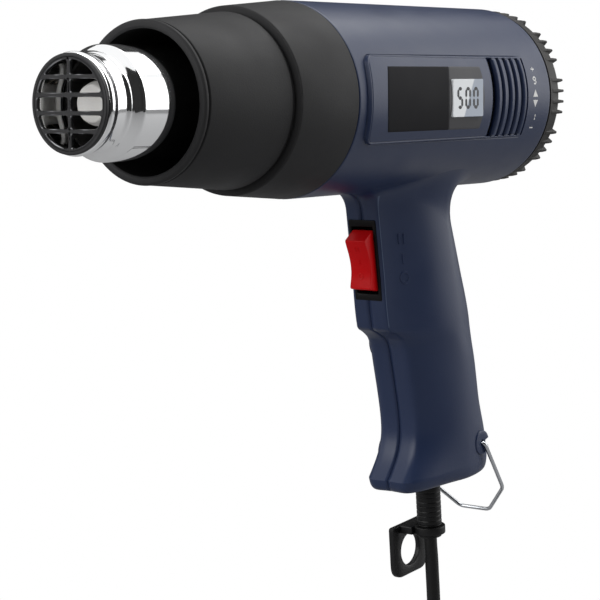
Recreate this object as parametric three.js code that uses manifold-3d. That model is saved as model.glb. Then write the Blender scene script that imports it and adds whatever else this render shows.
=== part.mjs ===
// Hot air tool: a pistol-grip heat gun with a steel nozzle, a finned temperature dial and a mains cord.
// Sizes are in millimetres. While modelling, X runs back along the barrel from the nozzle's face,
// Y points to the user's right and Z is up, with the barrel's axis on X. The finished group is then
// moved so that the origin lies in the middle of the grip.
import * as THREE from 'three';
import { mergeVertices } from 'three/addons/utils/BufferGeometryUtils.js';
import Module from 'manifold-3d';

const wasm = await Module();
wasm.setup();

// Clearances
const GAP = 0.3;
const LOOSE = 0.4;
const SEAM = 0.15;
const SLIVER = 0.03;

// Nozzle
const NOZZLE_RADIUS = 17.4;
const NOZZLE_WALL = 1.0;
const NOZZLE_FRONT_LENGTH = 11.4;
const TUBE_RADIUS = 20.5;
const TUBE_FLANGE = 3.5;
const TUBE_FLANGE_THICK = 1.6;
const GRILLE_THICK = 1.4;
const GRILLE_RIM = 2.0;
const GRILLE_BAR = 1.5;
const GRILLE_PITCH = 6.2;

// Heat shroud
const SLEEVE_FRONT = 37.2;
const SLEEVE_MOUTH = 26.2;
const SLEEVE_LIP = 29.5;
const SLEEVE_REAR = 82.9;
const SLEEVE_REAR_RADIUS = 33.1;
const SLEEVE_WALL = 2.3;
const SLEEVE_NECK = 6.0;
const SHROUD_GROOVE = 2.1;
const COLLAR_FRONT_RADIUS = 35.5;
const COLLAR_NECK = 7.8;
const COLLAR_WEB = 3.5;

// Barrel shells
const BODY_RADIUS = 38.3;
const BODY_FRONT = 117.2;
const BODY_LENGTH = 142.2;
const WALL = 2.5;
const REAR_LIP = 2.8;
const SIDES = 36;

// Display pad and air slots
const PAD_INSET = 4.4;
const PAD_SETBACK = 17.4;
const PAD_HALF = 16.8;
const PAD_PROUD = 1.8;
const PAD_BOW = 3.0;
const PLATE_INSET = 12.0;
const PLATE_SETBACK = 54.8;
const PLATE_BOW = 2.8;
const PLATE_HALF = 12.6;
const PLATE_THICK = 0.8;
const LCD_SETBACK = 57.0;
const LCD_LENGTH = 22.8;
const LCD_HALF = 7.6;
const WIDE_SLOT = { setback: 48.2, width: 4.6 };
const SLOT_COUNT = 4;
const SLOT_SETBACK = 40.6;
const SLOT_PITCH = 5.2;
const SLOT_WIDTH = 2.4;
const SLOT_HALF = 16.4;

// Grip
const GRIP_CENTRE_X = 220;
const GRIP_CENTRE_Z = -125;
const FILLET = 8.5;
const BOTTOM_TILT = 4.5;
const GRIP_FOOT_X = 220.3;
const GRIP_FOOT_Z = -164.2;
const FOOT_ROUND = 5.3;
// Level cuts of the grip: height, front, back, half width, how far the cut has changed from panel to
// grip, and whether the hollow has a cut there too
const GRIP_CUTS = [
  { z: -47.0, front: 171.4, back: 220.0, half: 17.6, grip: 0, inner: true },
  { z: -70.0, front: 174.9, back: 230.5, half: 18.4, grip: 0 },
  { z: -94.6, front: 178.6, back: 240.2, half: 18.9, grip: 0, inner: true },
  { z: -95.9, front: 179.8, back: 240.4, half: 18.9, grip: 0.08 },
  { z: -97.2, front: 182.9, back: 240.6, half: 18.9, grip: 0.35 },
  { z: -98.6, front: 185.7, back: 240.8, half: 18.9, grip: 0.62 },
  { z: -101.0, front: 189.0, back: 241.2, half: 18.9, grip: 0.9, inner: true },
  { z: -104.4, front: 190.9, back: 241.8, half: 18.9, grip: 1 },
  { z: -114.0, front: 193.5, back: 244.2, half: 18.9, grip: 1 },
  { z: -126.0, front: 196.6, back: 246.8, half: 18.9, grip: 1, inner: true },
  { z: -133.0, front: 198.1, back: 248.2, half: 18.9, grip: 1 },
  { z: -139.0, front: 199.0, back: 249.8, half: 18.9, grip: 1, inner: true },
  { z: -144.0, front: 199.0, back: 251.2, half: 18.9, grip: 1 },
  { z: -148.0, front: 197.8, back: 252.1, half: 18.9, grip: 1, inner: true },
  { z: -152.0, front: 195.5, back: 252.8, half: 18.9, grip: 1 },
  { z: -155.5, front: 192.8, back: 253.4, half: 18.9, grip: 1, inner: true },
  { z: -158.9, front: 189.4, back: 254.0, half: 18.9, grip: 1, inner: true },
];
// The two shapes of cut: a flat switch panel above the ledge and a round-nosed grip below it
const PANEL_CUT = {
  noseHalf: 8.9, noseDepth: 1.6, noseReach: 8.2, cornerReach: 0.9, flank: 16, flankReach: 14, widest: 36,
};
const GRIP_CUT = {
  noseHalf: 10.8, noseDepth: 1.9, noseReach: 5.9, cornerReach: 4.5, flank: 37, flankReach: 7.5, widest: 28,
};
const NOSE_STEPS = 3;
const FLANK_STEPS = 3;
const BACK_STEPS = 5;
const FILLET_STEPS = 3;

// Switch, in a frame on the panel: X into the grip, Z up the panel
const SWITCH_X = 174.3;
const SWITCH_Z = -66.3;
const PANEL_LEAN = 8.5;
const FRAME_HALF = 6.6;
const FRAME_TALL = 17;
const FRAME_PROUD = 0.8;
const SWITCH_HALF = 5.9;
const SWITCH_TALL = 15;
const SWITCH_DEPTH = 18;
const SWITCH_WELL = 12;
const SWITCH_WALL = 0.6;
const ROCKER_TALL = 12.9;
const ROCKER_NOSE = 6.3;
const ROCKER_WAIST = 3.9;
const ROCKER_FOOT = 5.7;
const ROCKER_DEPTH = 7.5;
const ROCKER_PIVOT = 4;
const PIN_RADIUS = 1.2;
const TAB_COUNT = 3;
const TAB_PITCH = 9;
const TAB_LENGTH = 7.5;
const TAB_WIDE = 6.3;
const TAB_THICK = 0.8;

// Heater
const MICA_FRONT = 18;
const MICA_LENGTH = 94;
const MICA_WALL = 0.9;
const CORE_FRONT = 24;
const CORE_LENGTH = 80;
const CORE_THICK = 1.8;
const CORE_END = 6;
const WINDING_RADIUS = 14.2;
const HEATER_WIRE = 0.55;
const WINDING_TURNS = 10;
const WINDING_STEPS = 12;

// Motor, fan and dial
const GUIDE_LENGTH = 16;
const MOTOR_RADIUS = 15;
const MOTOR_LENGTH = 46;
const MOTOR_TO_FAN = 6;
const CRADLE_RIM = 2.6;
const CRADLE_HUB = 2.3;
const CRADLE_LENGTH = 5;
const ARM_WIDTH = 4;
const SHAFT_RADIUS = 1.6;
const SHAFT_IN_MOTOR = 11;
const SHAFT_LENGTH = 35;
const FAN_LENGTH = 15;
const FAN_TO_GUARD = 13;
const FAN_HUB = 9;
const FAN_RADIUS = 31;
const FAN_BLADES = 7;
const BLADE_THICK = 1.5;
const BLADE_CHORD = 14;
const BLADE_ANGLE = 38;
const GUARD_SETBACK = 13.4;
const GUARD_LENGTH = 3.5;
const GUARD_HUB = 11;
const POT_RADIUS = 8.5;
const POT_LENGTH = 8.2;
const POT_BUSH = 3.7;
const POT_SHAFT = 2.0;
const DIAL_BAND = 37.9;
const DIAL_LENGTH = 12.8;
const DIAL_SKIRT = 2.1;
const DIAL_SKIRT_LENGTH = 5.7;
const DIAL_HUB = 6;
const DIAL_PLATE = 3.2;
const DIAL_FLAT = 33;
const FIN_RADIUS = 37.7;
const FIN_GROUPS = 10;
const FINS_PER_GROUP = 4;
const FIN_WIDTH = 1.0;
const INLET_COUNT = 8;
const INLET_WIDTH = 5.5;

// Boards and wires in the grip
const BOARD_THICK = 1.6;
const BOARD_SIDE = 4.1;
const POWER_BOARD = { x0: 207, x1: 226, z0: -122, z1: -72 };
const POST_RADIUS = 2.6;
const CAPACITOR_RADIUS = 6;
const CAPACITOR_LENGTH = 12;
const TRIAC = { wide: 10, tall: 8, deep: 4.6 };
const WIRE_RADIUS = 1.0;
const DISPLAY_BOARD_HALF = 11;
const DISPLAY_BOARD_DEPTH = 4.7;

// Screws
const SCREW_RADIUS = 1.6;
const HEAD_RADIUS = 3.0;
const HEAD_TALL = 2.4;
const BOSS_RADIUS = 3.6;
const BARREL_SCREW = { z: 26, seat: 12, reach: 12, fromFront: 29.8, fromRear: 19.4 };
const GRIP_SCREW = { seat: 5, reach: 6 };
const GRIP_SCREW_PLACES = [{ x: 199.5, z: -104 }, { x: 207, z: -151 }];

// Cord sleeve, clamp and hanger eye, measured along the cord's axis from the grip's foot
const CORD_RADIUS = 3.0;
const SLEEVE_RADIUS = 5.4;
const SLEEVE_LONG = 21.2;
const RIB_PITCH = 2.1;
const RIB_DEPTH = 0.45;
const SLEEVE_HOLE = 4.7;
const FLANGE_RADIUS = 7.2;
const SWIVEL_NECK = 4.3;
const SWIVEL_LONG = 5.5;
const SWIVEL_LIP = 5.1;
const INNER_LEAD_TOP = 34.6;
const CLAMP_AT = 22;
const CLAMP_HALF = 9.4;
const CLAMP_TALL = 7;
const CLAMP_THICK = 2.6;
const CLAMP_BOSS = 2.8;
const CLAMP_SCREW_X = 6.4;
const CLAMP_SCREW_RADIUS = 1.3;
const CLAMP_HEAD = 2.6;
const CLAMP_HEAD_TALL = 1.4;
const EYE_COLLAR = 6.8;
const EYE_ARM_HALF = 7;
const EYE_ARM_THICK = 3.5;
const EYE_SIDE = 10.6;
const EYE_THICK = 2.6;
const EYE_HALF = 12.8;
const EYE_TALL = 23.4;
const EYE_HOLE = 7.2;
const EYE_HOLE_DROP = 12.3;
const EYE_CORNER = 4.5;

// Hanging bail
const BAIL_X = 235;
const BAIL_Z = -149.5;
const BAIL_WIRE = 0.85;
const BAIL_SIDE = 20.1;
const BAIL_ARM = 27;
const BAIL_DROP = 42.6;
const BAIL_BAR_HALF = 7.6;
const BAIL_BEND = 1.4;
const BAIL_SWING = 34.4;
const BAIL_END = 11.5;
const EAR_RADIUS = 4.4;
const EAR_FACE = 19;
const EAR_SLOT = 1.7;

// Free cord: the route's hand-chosen points, then the coil by formula
const LEAD_POINTS = [
  [223.4, -200], [224.1, -208], [224.7, -215], [225.1, -221.5], [225.0, -228.5], [223.7, -235.2],
  [220.9, -241.4], [216.8, -246.3],
];
const COIL_X = 234.6;
const COIL_Z = -289.6;
const COIL_OUTER = 45.2;
const COIL_PITCH = 6.6;
const COIL_LAYER = 6.7;
const COIL_START = 120;
const COIL_TURNS = 6 + 1 / 6;
const COIL_STEPS = 24;
const COIL_SIDES = 6;
const TAIL_LENGTH = 46;
const TIE_THICK = 1.2;
const TIE_WIDTH = 8;
const PLUG_LONG = 38;
const PLUG_WIDE = 26;
const PLUG_THICK = 14;
const PLUG_PIN_RADIUS = 2.0;
const PLUG_PIN_LONG = 19;
const PLUG_PIN_PITCH = 18.6;

// Values that follow from the sizes above
const BODY_REAR = BODY_FRONT + BODY_LENGTH;
const BORE = BODY_RADIUS - WALL;
const SEAT = BORE - GAP;
const REAR_HOLE = BORE - REAR_LIP;
const PAD_FRONT = BODY_FRONT + PAD_INSET;
const PAD_REAR = BODY_REAR - PAD_SETBACK;
const PLATE_FRONT = PAD_FRONT + PLATE_INSET;
const PLATE_REAR = BODY_REAR - PLATE_SETBACK;
const LCD_REAR = BODY_REAR - LCD_SETBACK;
const LCD_FRONT = LCD_REAR - LCD_LENGTH;
const COLLAR_FRONT = SLEEVE_REAR + SHROUD_GROOVE;
const COLLAR_NECK_REAR = BODY_FRONT + COLLAR_NECK;
const RIB_FRONT = BODY_FRONT + COLLAR_WEB;
const RIB_LENGTH = 2.0;
const RIB_TALL = 2.6;
const WEB_REAR = BODY_FRONT + COLLAR_WEB + GAP;
const FLANGE_FRONT = WEB_REAR + LOOSE;
const TUBE_REAR = FLANGE_FRONT + TUBE_FLANGE_THICK;
const GUIDE_FRONT = TUBE_REAR + LOOSE;
const GUARD_FRONT = BODY_REAR - GUARD_SETBACK;
const FAN_FRONT = GUARD_FRONT - FAN_TO_GUARD - FAN_LENGTH;
const MOTOR_REAR = FAN_FRONT - MOTOR_TO_FAN;
const MOTOR_FRONT = MOTOR_REAR - MOTOR_LENGTH;
const DISPLAY_BOARD_SIDE = BODY_RADIUS - DISPLAY_BOARD_DEPTH;
const BARREL_SCREW_ROWS = [BODY_FRONT + BARREL_SCREW.fromFront, BODY_REAR - BARREL_SCREW.fromRear];
const CASE_SCREWS = [
  ...BARREL_SCREW_ROWS.flatMap((x) => {
    return [1, -1].map((side) => ({ ...BARREL_SCREW, x, z: side * BARREL_SCREW.z }));
  }),
  ...GRIP_SCREW_PLACES.map((place) => ({ ...GRIP_SCREW, ...place })),
];
const DIAL_FRONT = BODY_REAR + GAP;
const DIAL_REAR = DIAL_FRONT + DIAL_LENGTH;
const GRIP_HALF = GRIP_CUTS.at(-1).half;
const SLEEVE_END = SLEEVE_LONG + SWIVEL_LONG;
const radians = THREE.MathUtils.degToRad;

// Shapes

// Joins shared vertices, drops empty triangles and turns the faces outwards
function weld(geometry) {
  const bare = new THREE.BufferGeometry();
  bare.setAttribute('position', geometry.getAttribute('position').clone());
  if (geometry.index) bare.setIndex(geometry.index.clone());
  const joined = mergeVertices(bare, 1e-4);
  const positions = joined.getAttribute('position').array;
  const corners = joined.index.array;
  const triangles = [];
  let volume = 0;
  const point = (i) => new THREE.Vector3().fromArray(positions, 3 * i);
  for (let i = 0; i < corners.length; i += 3) {
    const [a, b, c] = corners.slice(i, i + 3);
    if (a === b || b === c || c === a) continue;
    volume += point(a).dot(point(b).cross(point(c)));
    triangles.push(a, b, c);
  }
  if (volume < 0) triangles.reverse();
  return { positions: Float32Array.from(positions), triangles: Uint32Array.from(triangles) };
}

function solid(geometry) {
  const { positions, triangles } = weld(geometry);
  return new wasm.Manifold(new wasm.Mesh({ numProp: 3, vertProperties: positions, triVerts: triangles }));
}

function geometryOf(body) {
  const { vertProperties, triVerts } = body.getMesh();
  const geometry = new THREE.BufferGeometry();
  geometry.setAttribute('position', new THREE.BufferAttribute(vertProperties, 3));
  geometry.setIndex(new THREE.BufferAttribute(triVerts, 1));
  return geometry;
}

function join(...bodies) {
  return bodies.reduce((sum, body) => sum.add(body));
}

// Turned solid about the X axis from [x, radius] pairs, which end on the axis or close on themselves
function turned(pairs, sides = SIDES) {
  const profile = pairs.map(([x, r]) => new THREE.Vector2(r, x));
  return solid(new THREE.LatheGeometry(profile, sides).rotateZ(-Math.PI / 2));
}

// Turned ring: the pairs are closed back to the first one
function ring(pairs, sides = SIDES) {
  return turned([...pairs, pairs[0]], sides);
}

// Cylinder along X
function rodX(radius, x0, x1, sides = 16) {
  return turned([[x0, 0], [x0, radius], [x1, radius], [x1, 0]], sides);
}

// Cylinder along Y at a place in the XZ plane
function rodY(radius, x, z, y0, y1, sides = 16) {
  const rod = new THREE.CylinderGeometry(radius, radius, y1 - y0, sides);
  return solid(rod.translate(x, (y0 + y1) / 2, z));
}

function box(x0, x1, y0, y1, z0, z1) {
  const block = new THREE.BoxGeometry(x1 - x0, y1 - y0, z1 - z0);
  return solid(block.translate((x0 + x1) / 2, (y0 + y1) / 2, (z0 + z1) / 2));
}

// Flat plate with an outline in XZ, between two values of Y
function slab(shape, y0, y1) {
  const plate = new THREE.ExtrudeGeometry(shape, { depth: y1 - y0, bevelEnabled: false, curveSegments: 6 });
  return solid(plate.rotateX(Math.PI / 2).translate(0, y1, 0));
}

function polygon(pairs) {
  return new THREE.Shape(pairs.map(([a, b]) => new THREE.Vector2(a, b)));
}

function circleShape(radius, sides) {
  const step = (2 * Math.PI) / sides;
  const corner = (i) => [radius * Math.cos(i * step), radius * Math.sin(i * step)];
  return polygon(Array.from({ length: sides }, (_, i) => corner(i)));
}

function tube(path, radius, steps, sides = 8) {
  const options = { steps, extrudePath: path, bevelEnabled: false };
  return solid(new THREE.ExtrudeGeometry(circleShape(radius, sides), options));
}

function centreOf(points) {
  return points.reduce((sum, p) => sum.add(p), new THREE.Vector3()).divideScalar(points.length);
}

// Closed skin over rings of equally many points, with a fan at each end
function skin(rings) {
  const count = rings[0].length;
  const points = [...rings.flat(), centreOf(rings[0]), centreOf(rings.at(-1))];
  const index = [];
  for (let row = 0; row + 1 < rings.length; row += 1) {
    for (let i = 0; i < count; i += 1) {
      const a = row * count + i;
      const b = row * count + ((i + 1) % count);
      index.push(a, b, a + count, b, b + count, a + count);
    }
  }
  const last = (rings.length - 1) * count;
  for (let i = 0; i < count; i += 1) {
    const next = (i + 1) % count;
    index.push(points.length - 2, next, i, points.length - 1, last + i, last + next);
  }
  return solid(new THREE.BufferGeometry().setFromPoints(points).setIndex(index));
}

// Tube of a few sides along points that lie near a plane whose normal is Y, or turn about the X axis
function wound(points, radius, sides, reference) {
  const rings = points.map((p, i) => {
    const ahead = points[Math.min(i + 1, points.length - 1)];
    const behind = points[Math.max(i - 1, 0)];
    const along = ahead.clone().sub(behind).normalize();
    const side = reference.clone().addScaledVector(along, -reference.dot(along)).normalize();
    const other = along.clone().cross(side);
    return Array.from({ length: sides }, (_, k) => {
      const angle = (2 * Math.PI * k) / sides;
      const out = side.clone().multiplyScalar(Math.cos(angle)).addScaledVector(other, Math.sin(angle));
      return p.clone().addScaledVector(out, radius);
    });
  });
  return skin(rings);
}

// Least clear distance between turns of one tube, on its centre points
function leastGap(points, radius, skip) {
  let least = Infinity;
  points.forEach((p, i) => {
    for (let k = i + skip; k < points.length; k += 1) least = Math.min(least, p.distanceTo(points[k]));
  });
  return least - 2 * radius;
}

const root = new THREE.Group();
root.name = 'hot_air_tool';

function material(color, roughness, metalness) {
  return new THREE.MeshStandardMaterial({ color, roughness, metalness });
}

const navy = material(0x2b3346, 0.42, 0);
const black = material(0x2b2b2b, 0.5, 0);
const chrome = material(0xd8dadd, 0.08, 1);
const darkSteel = material(0x303132, 0.4, 0.7);
const steel = material(0xb4b7ba, 0.25, 1);
const red = material(0xb31414, 0.35, 0);
const plateBlack = material(0x26262a, 0.45, 0);
const glass = material(0xb9c2c9, 0.15, 0);
const mica = material(0xc8b68c, 0.6, 0);
const ceramic = material(0xe6e0d2, 0.7, 0);
const board = material(0x22603a, 0.5, 0);
const rubber = material(0x222222, 0.6, 0);
const brass = material(0xc9a55a, 0.3, 1);

function node(name, body, look, parent = root) {
  const mesh = new THREE.Mesh(geometryOf(body), look);
  mesh.name = name;
  parent.add(mesh);
}

// Nozzle and grille
const tubeOuter = [
  [GRILLE_THICK + GAP, NOZZLE_RADIUS - 0.4],
  [GRILLE_THICK + GAP + 0.8, NOZZLE_RADIUS + 0.3],
  [GRILLE_THICK + GAP + 2.2, NOZZLE_RADIUS + 0.3],
  [GRILLE_THICK + GAP + 2.7, NOZZLE_RADIUS],
  [NOZZLE_FRONT_LENGTH, NOZZLE_RADIUS],
  [NOZZLE_FRONT_LENGTH + 0.6, NOZZLE_RADIUS + 0.5],
  [NOZZLE_FRONT_LENGTH + 1.6, NOZZLE_RADIUS + 0.7],
  [NOZZLE_FRONT_LENGTH + 2.8, TUBE_RADIUS - 1.2],
  [NOZZLE_FRONT_LENGTH + 4.6, TUBE_RADIUS],
  [FLANGE_FRONT, TUBE_RADIUS],
];
const tubeInner = [
  [TUBE_REAR, TUBE_RADIUS - NOZZLE_WALL],
  [NOZZLE_FRONT_LENGTH + 5, TUBE_RADIUS - NOZZLE_WALL],
  [NOZZLE_FRONT_LENGTH + 2, NOZZLE_RADIUS - NOZZLE_WALL],
  [GRILLE_THICK + GAP, NOZZLE_RADIUS - NOZZLE_WALL - 1],
];
node('nozzle_tube', ring([
  ...tubeOuter,
  [FLANGE_FRONT, TUBE_RADIUS + TUBE_FLANGE],
  [TUBE_REAR, TUBE_RADIUS + TUBE_FLANGE],
  ...tubeInner,
]), chrome);

function grille() {
  const mouth = NOZZLE_RADIUS - GRILLE_RIM;
  const rim = ring([[0, mouth], [0, NOZZLE_RADIUS], [GRILLE_THICK, NOZZLE_RADIUS], [GRILLE_THICK, mouth]]);
  const half = GRILLE_BAR / 2;
  const reach = mouth + GRILLE_RIM / 2;
  const upright = box(0, GRILLE_THICK, -half, half, -reach, reach);
  const levels = [-1.5, -0.5, 0.5, 1.5].map((step) => {
    const z = step * GRILLE_PITCH;
    const long = Math.sqrt(reach * reach - z * z) - half;
    return box(0, GRILLE_THICK, -long, long, z - half, z + half);
  });
  return join(rim, upright, ...levels);
}
node('nozzle_grille', grille(), darkSteel);

// Heat sleeve and front collar
const sleeveNeck = SLEEVE_REAR_RADIUS - SLEEVE_WALL + 0.1;
node('heat_sleeve', ring([
  [SLEEVE_FRONT + 0.6, SLEEVE_MOUTH],
  [SLEEVE_FRONT, SLEEVE_MOUTH + 0.8],
  [SLEEVE_FRONT, SLEEVE_LIP - 0.8],
  [SLEEVE_FRONT + 0.7, SLEEVE_LIP],
  [SLEEVE_FRONT + 2, SLEEVE_LIP],
  [SLEEVE_FRONT + 2.3, SLEEVE_LIP - 0.9],
  [SLEEVE_FRONT + 2.8, SLEEVE_LIP - 0.9],
  [SLEEVE_FRONT + 3.1, SLEEVE_LIP],
  [SLEEVE_REAR - 0.4, SLEEVE_REAR_RADIUS],
  [SLEEVE_REAR, SLEEVE_REAR_RADIUS - 0.4],
  [SLEEVE_REAR, SLEEVE_REAR_RADIUS - 0.7],
  [COLLAR_FRONT - GAP, SLEEVE_REAR_RADIUS - 0.7],
  [COLLAR_FRONT - GAP, sleeveNeck],
  [COLLAR_FRONT + SLEEVE_NECK, sleeveNeck],
  [COLLAR_FRONT + SLEEVE_NECK, sleeveNeck - SLEEVE_WALL],
  [SLEEVE_REAR, sleeveNeck - SLEEVE_WALL],
]), black);

const collarBore = sleeveNeck + GAP;
node('front_collar', ring([
  [COLLAR_FRONT, collarBore],
  [COLLAR_FRONT, COLLAR_FRONT_RADIUS - 0.4],
  [COLLAR_FRONT + 0.4, COLLAR_FRONT_RADIUS],
  [BODY_FRONT - GAP, BODY_RADIUS - 0.1],
  [BODY_FRONT - GAP, SEAT],
  [RIB_FRONT - GAP, SEAT],
  [RIB_FRONT - GAP, BORE - RIB_TALL - GAP],
  [RIB_FRONT + RIB_LENGTH + GAP, BORE - RIB_TALL - GAP],
  [RIB_FRONT + RIB_LENGTH + GAP, SEAT],
  [COLLAR_NECK_REAR, SEAT],
  [COLLAR_NECK_REAR, SEAT - WALL],
  [WEB_REAR, SEAT - WALL - 2],
  [WEB_REAR, TUBE_RADIUS + LOOSE],
  [WEB_REAR - COLLAR_WEB, TUBE_RADIUS + LOOSE],
  [WEB_REAR - COLLAR_WEB, BODY_RADIUS - WALL - 2],
  [COLLAR_FRONT + SLEEVE_NECK + GAP, COLLAR_FRONT_RADIUS - WALL + 0.4],
  [COLLAR_FRONT + SLEEVE_NECK + GAP, collarBore],
]), black);

// Heater inside the nozzle tube
const micaOuter = TUBE_RADIUS - NOZZLE_WALL - GAP;
const micaInner = micaOuter - MICA_WALL;
const micaRear = MICA_FRONT + MICA_LENGTH;
node('mica_tube', ring([
  [MICA_FRONT, micaInner], [MICA_FRONT, micaOuter], [micaRear, micaOuter], [micaRear, micaInner],
], 32), mica);

function elementCore() {
  const wide = micaInner - GAP;
  const slim = WINDING_RADIUS * Math.cos(Math.PI / WINDING_STEPS) - HEATER_WIRE - GAP;
  const rear = CORE_FRONT + CORE_LENGTH;
  const neckFront = CORE_FRONT + CORE_END;
  const neckRear = rear - CORE_END;
  const outline = polygon([
    [CORE_FRONT, -wide], [neckFront, -wide], [neckFront, -slim],
    [neckRear, -slim], [neckRear, -wide], [rear, -wide],
    [rear, wide], [neckRear, wide], [neckRear, slim],
    [neckFront, slim], [neckFront, wide], [CORE_FRONT, wide],
  ]);
  const leaf = slab(outline, -CORE_THICK / 2, CORE_THICK / 2);
  return join(leaf, leaf.rotate([90, 0, 0]));
}
node('element_core', elementCore(), ceramic);

function windingPoints() {
  const start = CORE_FRONT + CORE_END + 3;
  const length = CORE_LENGTH - 2 * CORE_END - 6;
  const steps = WINDING_TURNS * WINDING_STEPS;
  return Array.from({ length: steps + 1 }, (_, i) => {
    const angle = (2 * Math.PI * WINDING_TURNS * i) / steps;
    const x = start + (length * i) / steps;
    return new THREE.Vector3(x, WINDING_RADIUS * Math.cos(angle), WINDING_RADIUS * Math.sin(angle));
  });
}
const winding = windingPoints();
const windingGap = leastGap(winding, HEATER_WIRE, WINDING_STEPS / 2);
console.log('least gap in the heating coil, mm:', windingGap.toFixed(2));
node('heating_coil', wound(winding, HEATER_WIRE, 4, new THREE.Vector3(1, 0, 0)), steel);

const guideRear = GUIDE_FRONT + GUIDE_LENGTH;
node('air_guide', ring([
  [GUIDE_FRONT, TUBE_RADIUS + LOOSE],
  [GUIDE_FRONT, TUBE_RADIUS + TUBE_FLANGE],
  [guideRear - 2.5, SEAT],
  [guideRear, SEAT],
  [guideRear, SEAT - 1.5],
  [guideRear - 2, SEAT - 1.5],
  [GUIDE_FRONT + 1.6, TUBE_RADIUS + LOOSE],
]), black);

// Grip shape

function blendCut(station) {
  const mix = (a, b) => a + (b - a) * station.grip;
  const cut = { front: station.front, back: station.back, half: station.half };
  for (const key of Object.keys(PANEL_CUT)) cut[key] = mix(PANEL_CUT[key], GRIP_CUT[key]);
  return cut;
}

// The same cut moved in by a wall, for the hollow
function innerCut(cut, wall) {
  return {
    ...cut,
    front: cut.front + wall,
    back: cut.back - wall,
    noseHalf: cut.noseHalf - wall,
    noseReach: cut.noseReach - wall,
    half: cut.half - wall,
  };
}

// Outline of a cut: a nose curve, a flank curve and a quarter ellipse at the back, mirrored in Y
function cutOutline(cut) {
  const at = (x, y) => new THREE.Vector2(x, y);
  const lean = at(Math.cos(radians(cut.flank)), Math.sin(radians(cut.flank)));
  const corner = at(cut.noseDepth, cut.noseHalf);
  const slope = (reach) => corner.clone().addScaledVector(lean, reach);
  const side = at(cut.widest, cut.half);
  const length = cut.back - cut.front;
  const nose = new THREE.CubicBezierCurve(
    at(0, 0), at(0, cut.noseReach), slope(-cut.cornerReach), corner);
  const flank = new THREE.CubicBezierCurve(
    corner, slope(cut.flankReach), at(side.x - cut.flankReach, side.y), side);
  const back = new THREE.EllipseCurve(cut.widest, 0, length - cut.widest, cut.half, Math.PI / 2, 0, true);
  const right = [
    ...nose.getPoints(NOSE_STEPS),
    ...flank.getPoints(FLANK_STEPS).slice(1),
    ...back.getPoints(BACK_STEPS).slice(1),
  ];
  const left = right.slice(1, -1).reverse().map((p) => at(p.x, -p.y));
  return [...right, ...left].map((p) => at(p.x + cut.front, p.y));
}

// Below the ledge the cuts tip from level to the slope of the grip's foot
function tipped(x, z) {
  const share = THREE.MathUtils.smoothstep(-z, 100, -GRIP_FOOT_Z);
  return z + share * Math.tan(radians(BOTTOM_TILT)) * (x - GRIP_FOOT_X);
}

function cutRing(cut, z) {
  return cutOutline(cut).map((p) => new THREE.Vector3(p.x, p.y, tipped(p.x, z)));
}

// Draws a ring in towards its middle by a distance, and lowers it
function drawnIn(ringPoints, inset, drop) {
  const middle = centreOf(ringPoints);
  return ringPoints.map((p) => {
    const out = p.clone().sub(middle).setZ(0);
    const moved = p.clone().addScaledVector(out.normalize(), -inset);
    return moved.setZ(tipped(moved.x, GRIP_CUTS.at(-1).z) - drop);
  });
}

// Where the grip's wall, carried up, meets the barrel, and the curve that eases one into the other
function filletRings(upper, lower) {
  const rows = Array.from({ length: FILLET_STEPS + 2 }, () => []);
  const count = upper.length;
  const middle = centreOf(upper);
  upper.forEach((top, i) => {
    const climb = top.clone().sub(lower[i]).divideScalar(top.z - lower[i].z);
    let meet = top.clone();
    for (let pass = 0; pass < 20; pass += 1) {
      const level = -Math.sqrt(BODY_RADIUS ** 2 - meet.y ** 2);
      meet = top.clone().addScaledVector(climb, level - top.z);
    }
    const along = upper[(i + 1) % count].clone().sub(upper[(i + count - 1) % count]);
    const out = new THREE.Vector3(along.y, -along.x, 0).normalize();
    if (out.dot(top.clone().sub(middle)) < 0) out.negate();
    const normal = new THREE.Vector3(0, meet.y, meet.z).normalize();
    const across = out.clone().addScaledVector(normal, -out.dot(normal)).normalize();
    const onBarrel = meet.clone().addScaledVector(across, FILLET);
    const reach = BODY_RADIUS / Math.hypot(onBarrel.y, onBarrel.z);
    onBarrel.set(onBarrel.x, onBarrel.y * reach, onBarrel.z * reach);
    const onWall = meet.clone().addScaledVector(climb.clone().normalize(), -FILLET);
    const curve = new THREE.QuadraticBezierCurve3(onWall, meet, onBarrel);
    curve.getPoints(FILLET_STEPS).forEach((p, row) => rows[row].push(p));
    rows[FILLET_STEPS + 1].push(onBarrel.clone().multiply(new THREE.Vector3(1, 0.86, 0.86)));
  });
  return rows;
}

function gripOutside() {
  const walls = GRIP_CUTS.map((station) => cutRing(blendCut(station), station.z));
  const crease = walls.at(-1);
  const foot = [drawnIn(crease, 1.3, FOOT_ROUND - 1.4), drawnIn(crease, 4.2, FOOT_ROUND)];
  const fillet = filletRings(walls[0], walls[1]);
  return skin([...fillet.reverse(), ...walls, ...foot]);
}

function gripInside() {
  const cuts = GRIP_CUTS.filter(({ inner }) => inner)
    .map((station) => ({ cut: innerCut(blendCut(station), WALL), z: station.z }));
  const top = { cut: cuts[0].cut, z: -BODY_RADIUS / 2 };
  const rings = [top, ...cuts].map(({ cut, z }) => cutRing(cut, z));
  return skin([...rings, drawnIn(rings.at(-1), 1, FOOT_ROUND - WALL - 0.2)]);
}

// Barrel shells

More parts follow.
